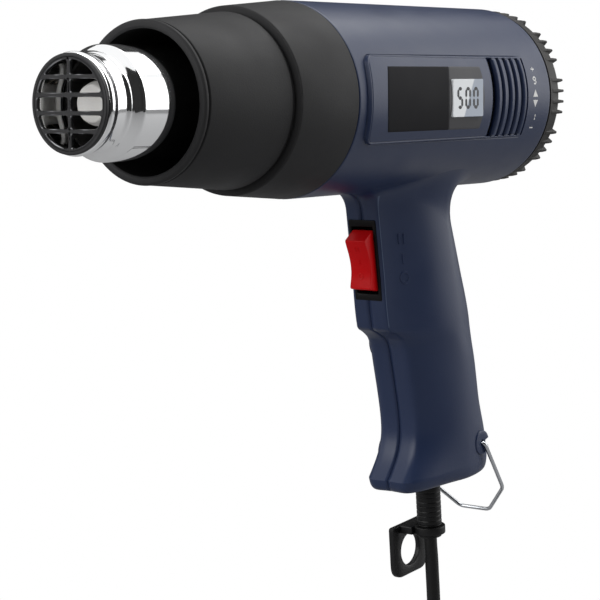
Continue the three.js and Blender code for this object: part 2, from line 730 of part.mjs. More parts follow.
// A raised pad: a cone that stands proud at its bowed front edge and sinks into the barrel at the back
function pad() {
  const outline = new THREE.Shape();
  outline.moveTo(PAD_FRONT + PAD_BOW + 4, -PAD_HALF);
  outline.quadraticCurveTo(PAD_FRONT + PAD_BOW, -PAD_HALF, PAD_FRONT + PAD_BOW - 1, -PAD_HALF + 4);
  outline.quadraticCurveTo(PAD_FRONT, 0, PAD_FRONT + PAD_BOW - 1, PAD_HALF - 4);
  outline.quadraticCurveTo(PAD_FRONT + PAD_BOW, PAD_HALF, PAD_FRONT + PAD_BOW + 4, PAD_HALF);
  outline.lineTo(PAD_REAR, PAD_HALF);
  outline.lineTo(PAD_REAR, -PAD_HALF);
  const cone = turned([
    [PAD_FRONT - 1, 0], [PAD_FRONT - 1, BODY_RADIUS + PAD_PROUD],
    [PAD_REAR + 1, BODY_RADIUS], [PAD_REAR + 1, 0],
  ], 2 * SIDES);
  return cone.intersect(slab(outline, -BODY_RADIUS - PAD_PROUD - 1, -BORE / 2));
}

function padRadius(x) {
  return BODY_RADIUS + (PAD_PROUD * (PAD_REAR - x)) / (PAD_REAR - PAD_FRONT);
}

function airSlots(side) {
  const edges = [side * (BORE - 10), side * (BODY_RADIUS + PAD_PROUD + 1)].sort((a, b) => a - b);
  const slot = (setback, width) => {
    const x = BODY_REAR - setback;
    return box(x, x + width, edges[0], edges[1], -SLOT_HALF, SLOT_HALF);
  };
  const narrow = Array.from({ length: SLOT_COUNT }, (_, i) => slot(SLOT_SETBACK - i * SLOT_PITCH, SLOT_WIDTH));
  return join(slot(WIDE_SLOT.setback, WIDE_SLOT.width), ...narrow);
}

// Curved sheet of the display plate with bowed ends, grown by a margin for its recess
function plateSheet(margin, floor) {
  const x0 = PLATE_FRONT - margin;
  const x1 = PLATE_REAR + margin;
  const half = PLATE_HALF + margin;
  const outline = new THREE.Shape();
  outline.moveTo(x0 + PLATE_BOW, -half);
  outline.quadraticCurveTo(x0 - PLATE_BOW, 0, x0 + PLATE_BOW, half);
  outline.lineTo(x1 - PLATE_BOW, half);
  outline.quadraticCurveTo(x1 + PLATE_BOW, 0, x1 - PLATE_BOW, -half);
  const sheet = ring([
    [x0 - 1, padRadius(PLATE_FRONT) - floor], [x0 - 1, padRadius(PLATE_FRONT) + 0.2 + margin],
    [x1 + 1, padRadius(PLATE_REAR) + 0.2 + margin], [x1 + 1, padRadius(PLATE_REAR) - floor],
  ], 2 * SIDES);
  return sheet.intersect(slab(outline, -BODY_RADIUS - PAD_PROUD - 5, -BORE / 2));
}

function lcdBlock(margin) {
  const face = padRadius(LCD_FRONT) + 0.1;
  const back = DISPLAY_BOARD_SIDE + GAP;
  return box(LCD_FRONT - margin, LCD_REAR + margin, -face - margin * 10, -back + margin * 10,
    -LCD_HALF - margin, LCD_HALF + margin);
}

const switchFrame = new THREE.Matrix4()
  .makeTranslation(SWITCH_X, 0, SWITCH_Z)
  .multiply(new THREE.Matrix4().makeRotationY(radians(-PANEL_LEAN)));
const cordFrame = new THREE.Matrix4()
  .makeTranslation(GRIP_FOOT_X, 0, GRIP_FOOT_Z)
  .multiply(new THREE.Matrix4().makeRotationY(radians(-BOTTOM_TILT)));

function placed(body, matrix) {
  return body.transform(matrix.elements);
}

// Bosses for the case screws on one side, and their holes
function caseBosses(side) {
  return join(...CASE_SCREWS.map(({ x, z }) => {
    const ends = [side * SEAM, side * BODY_RADIUS].sort((a, b) => a - b);
    return rodY(BOSS_RADIUS, x, z, ends[0], ends[1], 10);
  }));
}

function caseHoles() {
  return join(...CASE_SCREWS.map(({ x, z, seat, reach }) => {
    const hole = rodY(SCREW_RADIUS + GAP, x, z, -reach - GAP, seat + 1, 8);
    return hole.add(rodY(HEAD_RADIUS + GAP, x, z, seat, BODY_RADIUS + 2, 12));
  }));
}

const outside = join(
  turned([
    [BODY_FRONT, 0], [BODY_FRONT, BODY_RADIUS], [BODY_REAR - 1.2, BODY_RADIUS],
    [BODY_REAR, BODY_RADIUS - 0.9], [BODY_REAR, 0],
  ]),
  gripOutside(), pad(), pad().rotate([0, 0, 180]).mirror([1, 0, 0]),
);
const inside = join(
  turned([
    [BODY_FRONT - 1, 0], [BODY_FRONT - 1, BORE], [RIB_FRONT, BORE], [RIB_FRONT, BORE - RIB_TALL],
    [RIB_FRONT + RIB_LENGTH, BORE - RIB_TALL], [RIB_FRONT + RIB_LENGTH, BORE], [BODY_REAR - WALL, BORE],
    [BODY_REAR - WALL, REAR_HOLE], [BODY_REAR + 1, REAR_HOLE], [BODY_REAR + 1, 0],
  ]),
  gripInside(),
);
const switchCut = placed(
  box(-8, SWITCH_DEPTH, -SWITCH_HALF - GAP, SWITCH_HALF + GAP, -SWITCH_TALL - GAP, SWITCH_TALL + GAP),
  switchFrame);
const cordCut = placed(rodX(SLEEVE_HOLE + GAP, -12, 12).rotate([0, 90, 0]), cordFrame);

// Ear for one end of the bail: a round boss with a hole and a slot that opens to the back
function ear(side) {
  const ends = [side * BAIL_END, side * EAR_FACE].sort((a, b) => a - b);
  return rodY(EAR_RADIUS, BAIL_X, BAIL_Z, ends[0], ends[1], 16);
}

function earHole(side) {
  const ends = [side * (BAIL_END - 2), side * (EAR_FACE + 1)].sort((a, b) => a - b);
  const slot = [side * (EAR_FACE - 2.2), side * (EAR_FACE + 1)].sort((a, b) => a - b);
  const hole = rodY(BAIL_WIRE + GAP, BAIL_X, BAIL_Z, ends[0], ends[1], 10);
  const half = EAR_SLOT / 2;
  return hole.add(box(BAIL_X, BAIL_X + EAR_RADIUS + 1, slot[0], slot[1], BAIL_Z - half, BAIL_Z + half));
}

function clampPosts() {
  return join(...[-1, 1].map((side) => {
    const x = side * CLAMP_SCREW_X;
    const post = rodY(CLAMP_BOSS, x, CLAMP_AT, -CORD_RADIUS, GRIP_HALF - WALL + 0.5, 8);
    return post.subtract(rodY(CLAMP_SCREW_RADIUS + GAP, x, CLAMP_AT, -CORD_RADIUS - 1, 5, 8));
  }));
}

function boardPosts() {
  const posts = [[POWER_BOARD.x0 + 5, POWER_BOARD.z1 - 8], [POWER_BOARD.x1 - 4, POWER_BOARD.z0 + 8]];
  return join(...posts.map(([x, z]) => {
    return rodY(POST_RADIUS, x, z, BOARD_SIDE + BOARD_THICK + GAP, GRIP_HALF - WALL + 0.5, 8);
  }));
}

// One shell: its half of the skin, with bosses inside and openings cut through
function shell(side) {
  const keep = [side * SEAM, side * 2 * BODY_RADIUS].sort((a, b) => a - b);
  const half = box(0, BODY_REAR + 20, keep[0], keep[1], -2 * BODY_LENGTH, 2 * BODY_RADIUS);
  const bosses = caseBosses(side).add(ear(side)).intersect(outside.add(ear(side)));
  let body = outside.subtract(inside).add(bosses).intersect(half);
  if (side > 0) body = join(body, placed(clampPosts(), cordFrame), boardPosts());
  body = body.subtract(join(caseHoles(), airSlots(side), switchCut, cordCut, earHole(side)));
  if (side < 0) body = body.subtract(join(plateSheet(GAP, PLATE_THICK + GAP), lcdBlock(GAP)));
  return body.simplify(SLIVER);
}
node('left_housing', shell(-1), navy);
node('right_housing', shell(1), navy);

// Display
node('label_plate', plateSheet(0, PLATE_THICK).subtract(lcdBlock(GAP)), plateBlack);
node('lcd_module', lcdBlock(0), glass);
node('display_board', box(
  guideRear + 2, LCD_REAR + 1, -DISPLAY_BOARD_SIDE, -DISPLAY_BOARD_SIDE + BOARD_THICK,
  -DISPLAY_BOARD_HALF, DISPLAY_BOARD_HALF), board);

// Switch
const switchGroup = new THREE.Group();
switchGroup.applyMatrix4(switchFrame);
root.add(switchGroup);

function switchBody() {
  const block = box(-FRAME_PROUD / 2, SWITCH_DEPTH, -SWITCH_HALF, SWITCH_HALF, -SWITCH_TALL, SWITCH_TALL);
  const frame = box(-FRAME_PROUD, -GAP, -FRAME_HALF, FRAME_HALF, -FRAME_TALL, FRAME_TALL);
  const well = SWITCH_HALF - SWITCH_WALL;
  const cavity = box(-10, SWITCH_WELL, -well, well, -ROCKER_TALL - 1.3, ROCKER_TALL + 1.3);
  const bore = rodY(PIN_RADIUS + GAP, ROCKER_PIVOT, 0, -FRAME_HALF, FRAME_HALF, 12);
  return block.add(frame).subtract(cavity).subtract(bore);
}
node('switch_body', switchBody(), black, switchGroup);

function rocker() {
  const top = ROCKER_TALL;
  const outline = polygon([
    [0.3, top], [-ROCKER_NOSE, top - 3.3], [-ROCKER_WAIST, 0.6], [-ROCKER_WAIST, -5.4],
    [-ROCKER_FOOT, 1.9 - top], [0.3, -top], [5, -8], [ROCKER_DEPTH, -3], [ROCKER_DEPTH, 3], [5, 8],
  ]);
  const half = SWITCH_HALF - SWITCH_WALL - GAP;
  const bore = rodY(PIN_RADIUS + GAP, ROCKER_PIVOT, 0, -half - 1, half + 1, 12);
  return slab(outline, -half, half).subtract(bore);
}
node('rocker', rocker(), red, switchGroup);
node('rocker_pin', rodY(PIN_RADIUS, ROCKER_PIVOT, 0, -SWITCH_HALF, SWITCH_HALF, 12), steel, switchGroup);
for (let i = 0; i < TAB_COUNT; i += 1) {
  const z = (i - (TAB_COUNT - 1) / 2) * TAB_PITCH;
  const start = SWITCH_DEPTH + GAP;
  const tab = box(
    start, start + TAB_LENGTH, -TAB_WIDE / 2, TAB_WIDE / 2, z - TAB_THICK / 2, z + TAB_THICK / 2);
  node(`switch_tab_${i + 1}`, tab, brass, switchGroup);
}

// Motor and fan
node('motor_can', turned([
  [MOTOR_FRONT, 0], [MOTOR_FRONT, MOTOR_RADIUS - 1.5], [MOTOR_FRONT + 1.5, MOTOR_RADIUS],
  [MOTOR_REAR, MOTOR_RADIUS],
  [MOTOR_REAR, SHAFT_RADIUS + LOOSE],
  [MOTOR_REAR - SHAFT_IN_MOTOR - 1, SHAFT_RADIUS + LOOSE], [MOTOR_REAR - SHAFT_IN_MOTOR - 1, 0],
], 24), steel);

// Rim and hub joined by arms, which carries a round piece in the middle of the barrel
function spider(front, length, rimWall, hubInner, hubOuter, arms) {
  const rear = front + length;
  const rim = ring([[front, SEAT - rimWall], [front, SEAT], [rear, SEAT], [rear, SEAT - rimWall]]);
  const hub = ring([[front, hubInner], [front, hubOuter], [rear, hubOuter], [rear, hubInner]], 24);
  const half = ARM_WIDTH / 2;
  const bars = Array.from({ length: arms }, (_, i) => {
    return box(front, rear, -half, half, hubOuter - 1, SEAT - rimWall / 2).rotate([(360 * i) / arms, 0, 0]);
  });
  return join(rim, hub, ...bars);
}
const cradleHub = MOTOR_RADIUS + GAP;
node('motor_cradle', spider(
  MOTOR_REAR - CRADLE_LENGTH + 1, CRADLE_LENGTH, CRADLE_RIM, cradleHub, cradleHub + CRADLE_HUB, 3), black);
const shaftFront = MOTOR_REAR - SHAFT_IN_MOTOR;
node('motor_shaft', rodX(SHAFT_RADIUS, shaftFront, shaftFront + SHAFT_LENGTH, 12), steel);

function fan() {
  const rear = FAN_FRONT + FAN_LENGTH;
  const bore = SHAFT_RADIUS + GAP;
  const hub = ring([[FAN_FRONT, bore], [FAN_FRONT, FAN_HUB], [rear, FAN_HUB], [rear, bore]], 21);
  const span = FAN_RADIUS - FAN_HUB + 1;
  const plate = new THREE.BoxGeometry(BLADE_THICK, BLADE_CHORD, span);
  plate.rotateZ(radians(90 - BLADE_ANGLE)).translate((FAN_FRONT + rear) / 2, 0, FAN_HUB - 1 + span / 2);
  const blade = solid(plate);
  const blades = Array.from({ length: FAN_BLADES }, (_, i) => blade.rotate([(360 * i) / FAN_BLADES, 0, 0]));
  const core = rodX(bore, FAN_FRONT - 1, rear + 1, 21);
  return join(hub, ...blades).subtract(core);
}
node('fan', fan(), black);

// Inlet guard, potentiometer and temperature dial
node('inlet_guard', spider(GUARD_FRONT, GUARD_LENGTH, CRADLE_RIM, POT_BUSH + GAP, GUARD_HUB, 4), black);
const potFront = GUARD_FRONT - GAP - POT_LENGTH;
const bushRear = GUARD_FRONT + GUARD_LENGTH + 1.5;
node('pot_body', turned([
  [potFront, 0], [potFront, POT_RADIUS], [GUARD_FRONT - GAP, POT_RADIUS], [GUARD_FRONT - GAP, POT_BUSH],
  [bushRear, POT_BUSH], [bushRear, POT_SHAFT + GAP], [potFront + 1.5, POT_SHAFT + GAP], [potFront + 1.5, 0],
], 20), steel);
const hubDepth = DIAL_REAR - DIAL_PLATE;
node('pot_shaft', rodX(POT_SHAFT, potFront + 2, hubDepth - GAP, 12), steel);

// Outer skin of the dial: a plain band in front, then groups of fins that rise from a cone
function dialSkin() {
  const places = FIN_GROUPS * (FINS_PER_GROUP + 1);
  const pitch = (2 * Math.PI) / places;
  const rows = [
    { x: DIAL_FRONT, top: DIAL_BAND, base: DIAL_BAND },
    { x: DIAL_FRONT + 2.3, top: DIAL_BAND - 0.3, base: DIAL_BAND - 0.3 },
    { x: DIAL_FRONT + 3, top: FIN_RADIUS, base: DIAL_BAND - 0.4 },
    { x: DIAL_REAR - 3.6, top: FIN_RADIUS, base: DIAL_BAND - 1.3 },
    { x: DIAL_REAR - 0.5, top: FIN_RADIUS - 0.2, base: DIAL_FLAT + 0.6 },
    { x: DIAL_REAR, top: DIAL_FLAT + 1, base: DIAL_FLAT },
  ];
  const ringOf = ({ x, top, base }) => {
    const points = [];
    const place = (radius, angle) => {
      points.push(new THREE.Vector3(x, -radius * Math.cos(angle), radius * Math.sin(angle)));
    };
    for (let i = 0; i < places; i += 1) {
      if (i % (FINS_PER_GROUP + 1) === FINS_PER_GROUP) continue;
      const middle = (i - (FINS_PER_GROUP - 1) / 2) * pitch;
      const halfTop = FIN_WIDTH / 2 / FIN_RADIUS;
      const halfBase = (FIN_WIDTH + 0.8) / 2 / FIN_RADIUS;
      place(base, middle - halfBase);
      place(top, middle - halfTop);
      place(top, middle + halfTop);
      place(base, middle + halfBase);
    }
    return points;
  };
  return skin(rows.map(ringOf));
}

function dial() {
  const skirt = REAR_HOLE - LOOSE;
  const lining = skirt - DIAL_SKIRT;
  const skirtFront = BODY_REAR - DIAL_SKIRT_LENGTH;
  const plateFront = DIAL_REAR - DIAL_PLATE;
  const skirtRing = ring([
    [skirtFront, lining], [skirtFront, skirt], [DIAL_FRONT + 1, skirt], [DIAL_FRONT + 1, lining],
  ]);
  const hub = rodX(DIAL_HUB, bushRear + 1, plateFront + 1, 20);
  const hollow = rodX(lining, DIAL_FRONT - 1, plateFront, SIDES);
  const inlets = Array.from({ length: INLET_COUNT }, (_, i) => {
    const half = INLET_WIDTH / 2;
    const slot = box(plateFront - 1, DIAL_REAR + 1, -half, half, DIAL_HUB + 4, lining - 4);
    return slot.rotate([(360 * (i + 0.5)) / INLET_COUNT, 0, 0]);
  });
  const bore = rodX(POT_SHAFT + GAP, bushRear, hubDepth, 12);
  return dialSkin().subtract(hollow).add(skirtRing).add(hub).subtract(join(bore, ...inlets));
}
node('temperature_dial', dial(), black);

// Power board in the grip
node('power_board', box(
  POWER_BOARD.x0, POWER_BOARD.x1, BOARD_SIDE, BOARD_SIDE + BOARD_THICK,
  POWER_BOARD.z0, POWER_BOARD.z1), board);
const boardMiddle = (POWER_BOARD.x0 + POWER_BOARD.x1) / 2;
const partSide = BOARD_SIDE - GAP;
node('capacitor', rodY(
  CAPACITOR_RADIUS, boardMiddle, POWER_BOARD.z0 + 14, partSide - CAPACITOR_LENGTH, partSide, 16), brass);
node('triac', box(
  boardMiddle - TRIAC.wide / 2, boardMiddle + TRIAC.wide / 2, partSide - TRIAC.deep, partSide,
  POWER_BOARD.z1 - 14 - TRIAC.tall, POWER_BOARD.z1 - 14), black);

// Screws
function screw(x, z, radius, headRadius, headTall, seat, tip) {
  const side = Math.sign(seat - tip);
  const shank = [tip, seat + side * (headTall / 2)].sort((a, b) => a - b);
  const head = [seat, seat + side * headTall].sort((a, b) => a - b);
  return rodY(radius, x, z, shank[0], shank[1], 8).add(rodY(headRadius, x, z, head[0], head[1], 12));
}
CASE_SCREWS.forEach(({ x, z, seat, reach }, i) => {
  node(`case_screw_${i + 1}`, screw(x, z, SCREW_RADIUS, HEAD_RADIUS, HEAD_TALL, seat + GAP, -reach), steel);
});

// Cord sleeve, clamp, inner lead and hanger eye, in the cord's frame with Z up the cord
const cordGroup = new THREE.Group();
cordGroup.applyMatrix4(cordFrame);
root.add(cordGroup);

// Turns an X-axis solid so that distance down the cord runs along minus Z
function downCord(body) {
  return body.rotate([0, 90, 0]);
}

function cordSleeve() {
  const pairs = [
    [-WALL - 4.2, CORD_RADIUS + GAP], [-WALL - 4.2, FLANGE_RADIUS], [-WALL - 1, FLANGE_RADIUS],
    [-WALL - 1, SLEEVE_HOLE], [GAP, SLEEVE_HOLE],
  ];
  for (let s = GAP; s + RIB_PITCH <= SLEEVE_LONG; s += RIB_PITCH) {
    pairs.push([s + 0.1 * RIB_PITCH, SLEEVE_RADIUS], [s + 0.7 * RIB_PITCH, SLEEVE_RADIUS]);
    pairs.push([s + 0.85 * RIB_PITCH, SLEEVE_RADIUS - RIB_DEPTH]);
  }
  pairs.push(
    [SLEEVE_LONG, SLEEVE_RADIUS], [SLEEVE_LONG + GAP, SLEEVE_RADIUS], [SLEEVE_LONG + GAP, SWIVEL_NECK],
    [SLEEVE_END - 1, SWIVEL_NECK], [SLEEVE_END - 1, SWIVEL_LIP], [SLEEVE_END, SWIVEL_LIP],
    [SLEEVE_END, CORD_RADIUS + GAP],
  );
  return downCord(ring(pairs, 14));
}
node('cord_guard', cordSleeve(), rubber, cordGroup);
node('inner_lead', downCord(rodX(CORD_RADIUS, -INNER_LEAD_TOP, SLEEVE_END, 12)), rubber, cordGroup);

function clampBar() {
  const inner = -CORD_RADIUS - GAP;
  const half = CLAMP_TALL / 2;
  const bar = box(-CLAMP_HALF, CLAMP_HALF, inner - CLAMP_THICK, inner, CLAMP_AT - half, CLAMP_AT + half);
  const holes = [-1, 1].map((side) => {
    const radius = CLAMP_SCREW_RADIUS + GAP;
    return rodY(radius, side * CLAMP_SCREW_X, CLAMP_AT, inner - CLAMP_THICK - 1, inner + 1, 8);
  });
  return bar.subtract(join(...holes));
}
node('cord_clamp', clampBar(), black, cordGroup);
[-1, 1].forEach((side, i) => {
  const seat = -CORD_RADIUS - 2 * GAP - CLAMP_THICK;
  const body = screw(
    side * CLAMP_SCREW_X, CLAMP_AT, CLAMP_SCREW_RADIUS, CLAMP_HEAD, CLAMP_HEAD_TALL, seat, 4.5);
  node(`clamp_screw_${i + 1}`, body, steel, cordGroup);
});

function hangerEye() {
  const top = SLEEVE_LONG + 2 * GAP;
  const low = top + EYE_ARM_THICK;
  const collar = downCord(rodX(EYE_COLLAR, top, low, 20));
  const bore = downCord(rodX(SWIVEL_NECK + LOOSE, top - 1, low + 1, 20));
  const arm = box(-EYE_ARM_HALF, EYE_ARM_HALF, 0, EYE_SIDE + EYE_THICK / 2, -low, -top);
  const bend = -top - EYE_TALL + EYE_CORNER;
  const inset = EYE_HALF - EYE_CORNER;
  const outline = new THREE.Shape();
  outline.moveTo(-EYE_HALF, -top);
  outline.lineTo(-EYE_HALF, bend);
  outline.absarc(-inset, bend, EYE_CORNER, Math.PI, 1.5 * Math.PI, false);
  outline.absarc(inset, bend, EYE_CORNER, 1.5 * Math.PI, 2 * Math.PI, false);
  outline.lineTo(EYE_HALF, -top);
  const plate = slab(outline, EYE_SIDE, EYE_SIDE + EYE_THICK);
  const hole = rodY(EYE_HOLE, 0, -top - EYE_HOLE_DROP, EYE_SIDE - 1, EYE_SIDE + EYE_THICK + 1, 28);
  return join(collar, arm, plate).subtract(bore).subtract(hole);
}
node('hanger_eye', hangerEye(), rubber, cordGroup);

// Hanging bail: straight lengths with a curve at each bend, in a plane that holds the hinge axis
function bail() {
  const tilt = radians(BAIL_SWING);
  const at = (y, t) => new THREE.Vector3(BAIL_X + t * Math.sin(tilt), y, BAIL_Z - t * Math.cos(tilt));
  const corners = [
    at(-BAIL_END, 0), at(-BAIL_SIDE, 0), at(-BAIL_SIDE, BAIL_ARM), at(-BAIL_BAR_HALF, BAIL_DROP),
    at(BAIL_BAR_HALF, BAIL_DROP), at(BAIL_SIDE, BAIL_ARM), at(BAIL_SIDE, 0), at(BAIL_END, 0),
  ];
  const points = [corners[0]];
  for (let i = 1; i + 1 < corners.length; i += 1) {
    const bend = corners[i];
    const before = bend.clone().add(corners[i - 1].clone().sub(bend).setLength(BAIL_BEND));
    const after = bend.clone().add(corners[i + 1].clone().sub(bend).setLength(BAIL_BEND));
    points.push(...new THREE.QuadraticBezierCurve3(before, bend, after).getPoints(4));
  }
  points.push(corners.at(-1));
  return wound(points, BAIL_WIRE, 8, new THREE.Vector3(Math.cos(tilt), 0, Math.sin(tilt)));
}
node('hanging_bail', bail(), steel);

// Wires in the grip
function wire(points) {
  return tube(new THREE.CatmullRomCurve3(points.map((p) => new THREE.Vector3(...p))), WIRE_RADIUS, 14, 8);
}
const leadTop = new THREE.Vector3(0, 0, INNER_LEAD_TOP + 2 * LOOSE).applyMatrix4(cordFrame);
const lowTab = new THREE.Vector3(SWITCH_DEPTH + GAP + TAB_LENGTH + WIRE_RADIUS + GAP, 0, -TAB_PITCH)
  .applyMatrix4(switchFrame);
node('live_wire', wire([
  [leadTop.x, -1.4, leadTop.z], [leadTop.x - 1, -2.2, leadTop.z + 4], [212, -5, -121], [206.6, -5.5, -110],
  [206, -5, -98], [204.4, -3, -86], [lowTab.x + 1.2, -0.5, lowTab.z - 3], [lowTab.x, 0, lowTab.z + 2],
]), red);
node('neutral_wire', wire([
  [leadTop.x, 1.4, leadTop.z], [leadTop.x - 0.6, 2.4, leadTop.z + 2.5],
  [leadTop.x - 1.2, 4.2, leadTop.z + 4.5],
  [leadTop.x - 1.4, BOARD_SIDE + BOARD_THICK / 2, POWER_BOARD.z0 - LOOSE],
]), navy);

// Free cord
const cordExit = new THREE.Vector3(0, 0, -SLEEVE_END - GAP).applyMatrix4(cordFrame);
const cordDown = new THREE.Vector3(0, 0, -1).transformDirection(cordFrame);

// Centre points of the coil: it spirals in and out again at a steady rate and climbs one layer at the turn
function coilPoints() {
  const steps = Math.round(COIL_TURNS * COIL_STEPS);
  const turn = (2 * Math.PI) / COIL_STEPS;
  const middle = steps / 2;
  const points = Array.from({ length: steps + 1 }, (_, i) => {
    const angle = radians(COIL_START) + i * turn;
    const inward = (middle - Math.abs(i - middle)) / COIL_STEPS;
    const radius = COIL_OUTER - COIL_PITCH * inward;
    const climb = THREE.MathUtils.smoothstep(i, middle - COIL_STEPS / 4, middle + COIL_STEPS / 4);
    return new THREE.Vector3(
      COIL_X + radius * Math.cos(angle), COIL_LAYER * climb, COIL_Z + radius * Math.sin(angle));
  });
  const run = 2 * CORD_RADIUS;
  const first = points[0].clone().sub(points[1]).setLength(run).add(points[0]);
  const end = points.at(-1).clone().add(new THREE.Vector3(0, 0, -run));
  return [first, ...points, end];
}
const coil = coilPoints();
console.log('least gap in the cord coil, mm:', leastGap(coil, CORD_RADIUS, COIL_STEPS / 2).toFixed(2));
node('cord_coil', wound(coil, CORD_RADIUS, COIL_SIDES, new THREE.Vector3(0, 1, 0)), rubber);

const coilIn = coil[0].clone().sub(coil[1]).setLength(GAP).add(coil[0]);
const coilRun = coil[0].clone().sub(coil[1]).setLength(2 * CORD_RADIUS);
const leadCurve = new THREE.CatmullRomCurve3([
  cordExit, cordExit.clone().addScaledVector(cordDown, 4),
  ...LEAD_POINTS.map(([x, z]) => new THREE.Vector3(x, 0, z)),
  coilIn.clone().add(coilRun), coilIn,
]);
node('cord_lead', tube(leadCurve, CORD_RADIUS, 22, 8), rubber);

const tailWay = coil.at(-1).clone().sub(coil.at(-2)).normalize();
const tailTop = coil.at(-1).clone().addScaledVector(tailWay, GAP);
const tailEnd = tailTop.clone().addScaledVector(tailWay, TAIL_LENGTH);
node('cord_tail', tube(new THREE.LineCurve3(tailTop, tailEnd), CORD_RADIUS, 2, 8), rubber);

function cordTie() {
  const depth = (COIL_TURNS / 2) * COIL_PITCH;
  const inner = COIL_OUTER - depth - CORD_RADIUS - 2 * LOOSE;
  const outer = COIL_OUTER + CORD_RADIUS + LOOSE;
  const near = -CORD_RADIUS - LOOSE;
  const far = COIL_LAYER + CORD_RADIUS + LOOSE;
  const half = TIE_WIDTH / 2;
  const loop = box(inner - TIE_THICK, outer + TIE_THICK, near - TIE_THICK, far + TIE_THICK, -half, half);
  return loop.subtract(box(inner, outer, near, far, -half - 1, half + 1)).translate([COIL_X, 0, COIL_Z]);
}
node('cord_tie', cordTie(), rubber);

// Plug: cuts that grow from the cord to the pin face, along the tail's direction
function plugBody(start) {
  const cuts = [
    [0, 2.2 * CORD_RADIUS, 2.2 * CORD_RADIUS], [0.3, 2.8 * CORD_RADIUS, 2.6 * CORD_RADIUS],
    [0.45, 0.85 * PLUG_WIDE, PLUG_THICK], [0.6, PLUG_WIDE, PLUG_THICK], [1, PLUG_WIDE, PLUG_THICK - 1],
  ];
  const sides = 16;
  const rings = cuts.map(([share, wide, thick]) => Array.from({ length: sides }, (_, i) => {
    const angle = (2 * Math.PI * (i + 0.5)) / sides;
    const square = (value) => Math.sign(value) * Math.sqrt(Math.abs(value));
    const x = (wide / 2) * square(Math.cos(angle));
    const y = (thick / 2) * square(Math.sin(angle));
    return new THREE.Vector3(start.x + x, start.y + y, start.z - share * PLUG_LONG);
  }));
  return skin(rings);
}
const plugTop = tailEnd.clone().addScaledVector(tailWay, GAP);
node('plug_body', plugBody(plugTop), rubber);
[-1, 1].forEach((side, i) => {
  const top = plugTop.z - PLUG_LONG - GAP;
  const x = plugTop.x + (side * PLUG_PIN_PITCH) / 2;
  const pin = rodX(PLUG_PIN_RADIUS, 0, PLUG_PIN_LONG, 12).rotate([0, 90, 0]).translate([x, plugTop.y, top]);
  node(`plug_pin_${i + 1}`, pin, brass);
});

root.position.set(-GRIP_CENTRE_X, 0, -GRIP_CENTRE_Z);

export default root;
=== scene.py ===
"""Hot air tool with a steel nozzle, a finned temperature dial, a display plate and a mains lead.

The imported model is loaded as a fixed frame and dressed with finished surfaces, then lit for one view.
Shapes are worked out in millimetres in the barrel's own frame: X runs back from the nozzle's face,
Y points to the user's right and Z is up, with the barrel's axis on X. They reach the frame's metres last.
"""

import math

import bmesh
import bpy
import numpy as np
from mathutils import Matrix, Vector


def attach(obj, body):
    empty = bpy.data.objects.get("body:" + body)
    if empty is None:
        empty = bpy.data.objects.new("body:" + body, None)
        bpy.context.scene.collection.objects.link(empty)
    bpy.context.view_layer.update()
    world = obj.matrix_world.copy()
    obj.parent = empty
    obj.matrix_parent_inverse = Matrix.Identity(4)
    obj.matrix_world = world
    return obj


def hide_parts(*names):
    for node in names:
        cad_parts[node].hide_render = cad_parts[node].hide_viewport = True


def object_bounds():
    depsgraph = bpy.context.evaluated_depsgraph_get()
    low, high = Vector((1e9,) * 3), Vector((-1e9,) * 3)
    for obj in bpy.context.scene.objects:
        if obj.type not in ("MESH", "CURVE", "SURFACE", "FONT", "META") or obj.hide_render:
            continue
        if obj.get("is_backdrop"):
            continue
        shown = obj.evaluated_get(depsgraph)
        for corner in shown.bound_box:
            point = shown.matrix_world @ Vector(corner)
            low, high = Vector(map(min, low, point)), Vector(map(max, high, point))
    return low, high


bl_info = {
    "name": "Hot air tool",
    "version": (1, 0, 0),
    "blender": (4, 5, 0),
    "location": "3D View > Sidebar > Hot air tool",
    "description": "Makes the visible surfaces, finishes and studio stage of a pistol-grip hot air tool",
    "category": "Object",
}

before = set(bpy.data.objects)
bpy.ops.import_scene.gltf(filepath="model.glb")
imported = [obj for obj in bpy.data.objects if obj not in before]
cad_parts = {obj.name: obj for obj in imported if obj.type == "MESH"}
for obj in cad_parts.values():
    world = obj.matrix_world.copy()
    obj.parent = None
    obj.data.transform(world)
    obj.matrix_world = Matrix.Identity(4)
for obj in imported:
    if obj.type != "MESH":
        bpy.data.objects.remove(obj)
CAD_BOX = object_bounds()

# Places in the barrel's frame, in millimetres
FRAME_ORIGIN = np.array((220.0, 0.0, -125.0))
PAD_FRONT = 121.6
PAD_REAR = 242.0
PAD_HALF = 16.8
PAD_PROUD = 1.5
PLATE_FRONT = 133.6
PLATE_REAR = 204.6
PLATE_HALF = 12.6
PLATE_BOW = 2.8
BEZEL_FRONT = 177.6
LCD_FRONT = 179.6
LCD_REAR = 202.4
LCD_HALF = 7.6
LCD_FACE = 39.6
LCD_BACK = 35.0
SLOTS = ((211.2, 215.8), (218.8, 221.2), (224.0, 226.4), (229.2, 231.6), (234.4, 236.8))
SLOT_HALF = 16.4
GROOVE_LINES = (239.2, 239.4, 240.3, 240.5)
WALL = 2.5
DIAL_REAR = 272.5
CORD_RADIUS = 3.0
BAIL_PIVOT = (235.0, -149.5)
SIDEWAYS = np.array((0.0, 1.0, 0.0))


# Properties

def tone(red, green, blue):
    """Display colour from 0 to 255 turned to the linear light that shaders use."""
    share = np.array((red, green, blue)) / 255.0
    linear = np.where(share <= 0.04045, share / 12.92, ((share + 0.055) / 1.055) ** 2.4)
    return tuple(float(value) for value in linear)


def length(label, words, millimetres):
    """Length property whose default is given in millimetres and kept in metres."""
    return bpy.props.FloatProperty(
        name=label, description=words, default=millimetres / 1000.0, unit="LENGTH", precision=5)


def colour(label, words, default):
    """Colour property whose default is a display colour."""
    return bpy.props.FloatVectorProperty(
        name=label, description=words, default=tone(*default), subtype="COLOR", min=0.0, max=1.0)


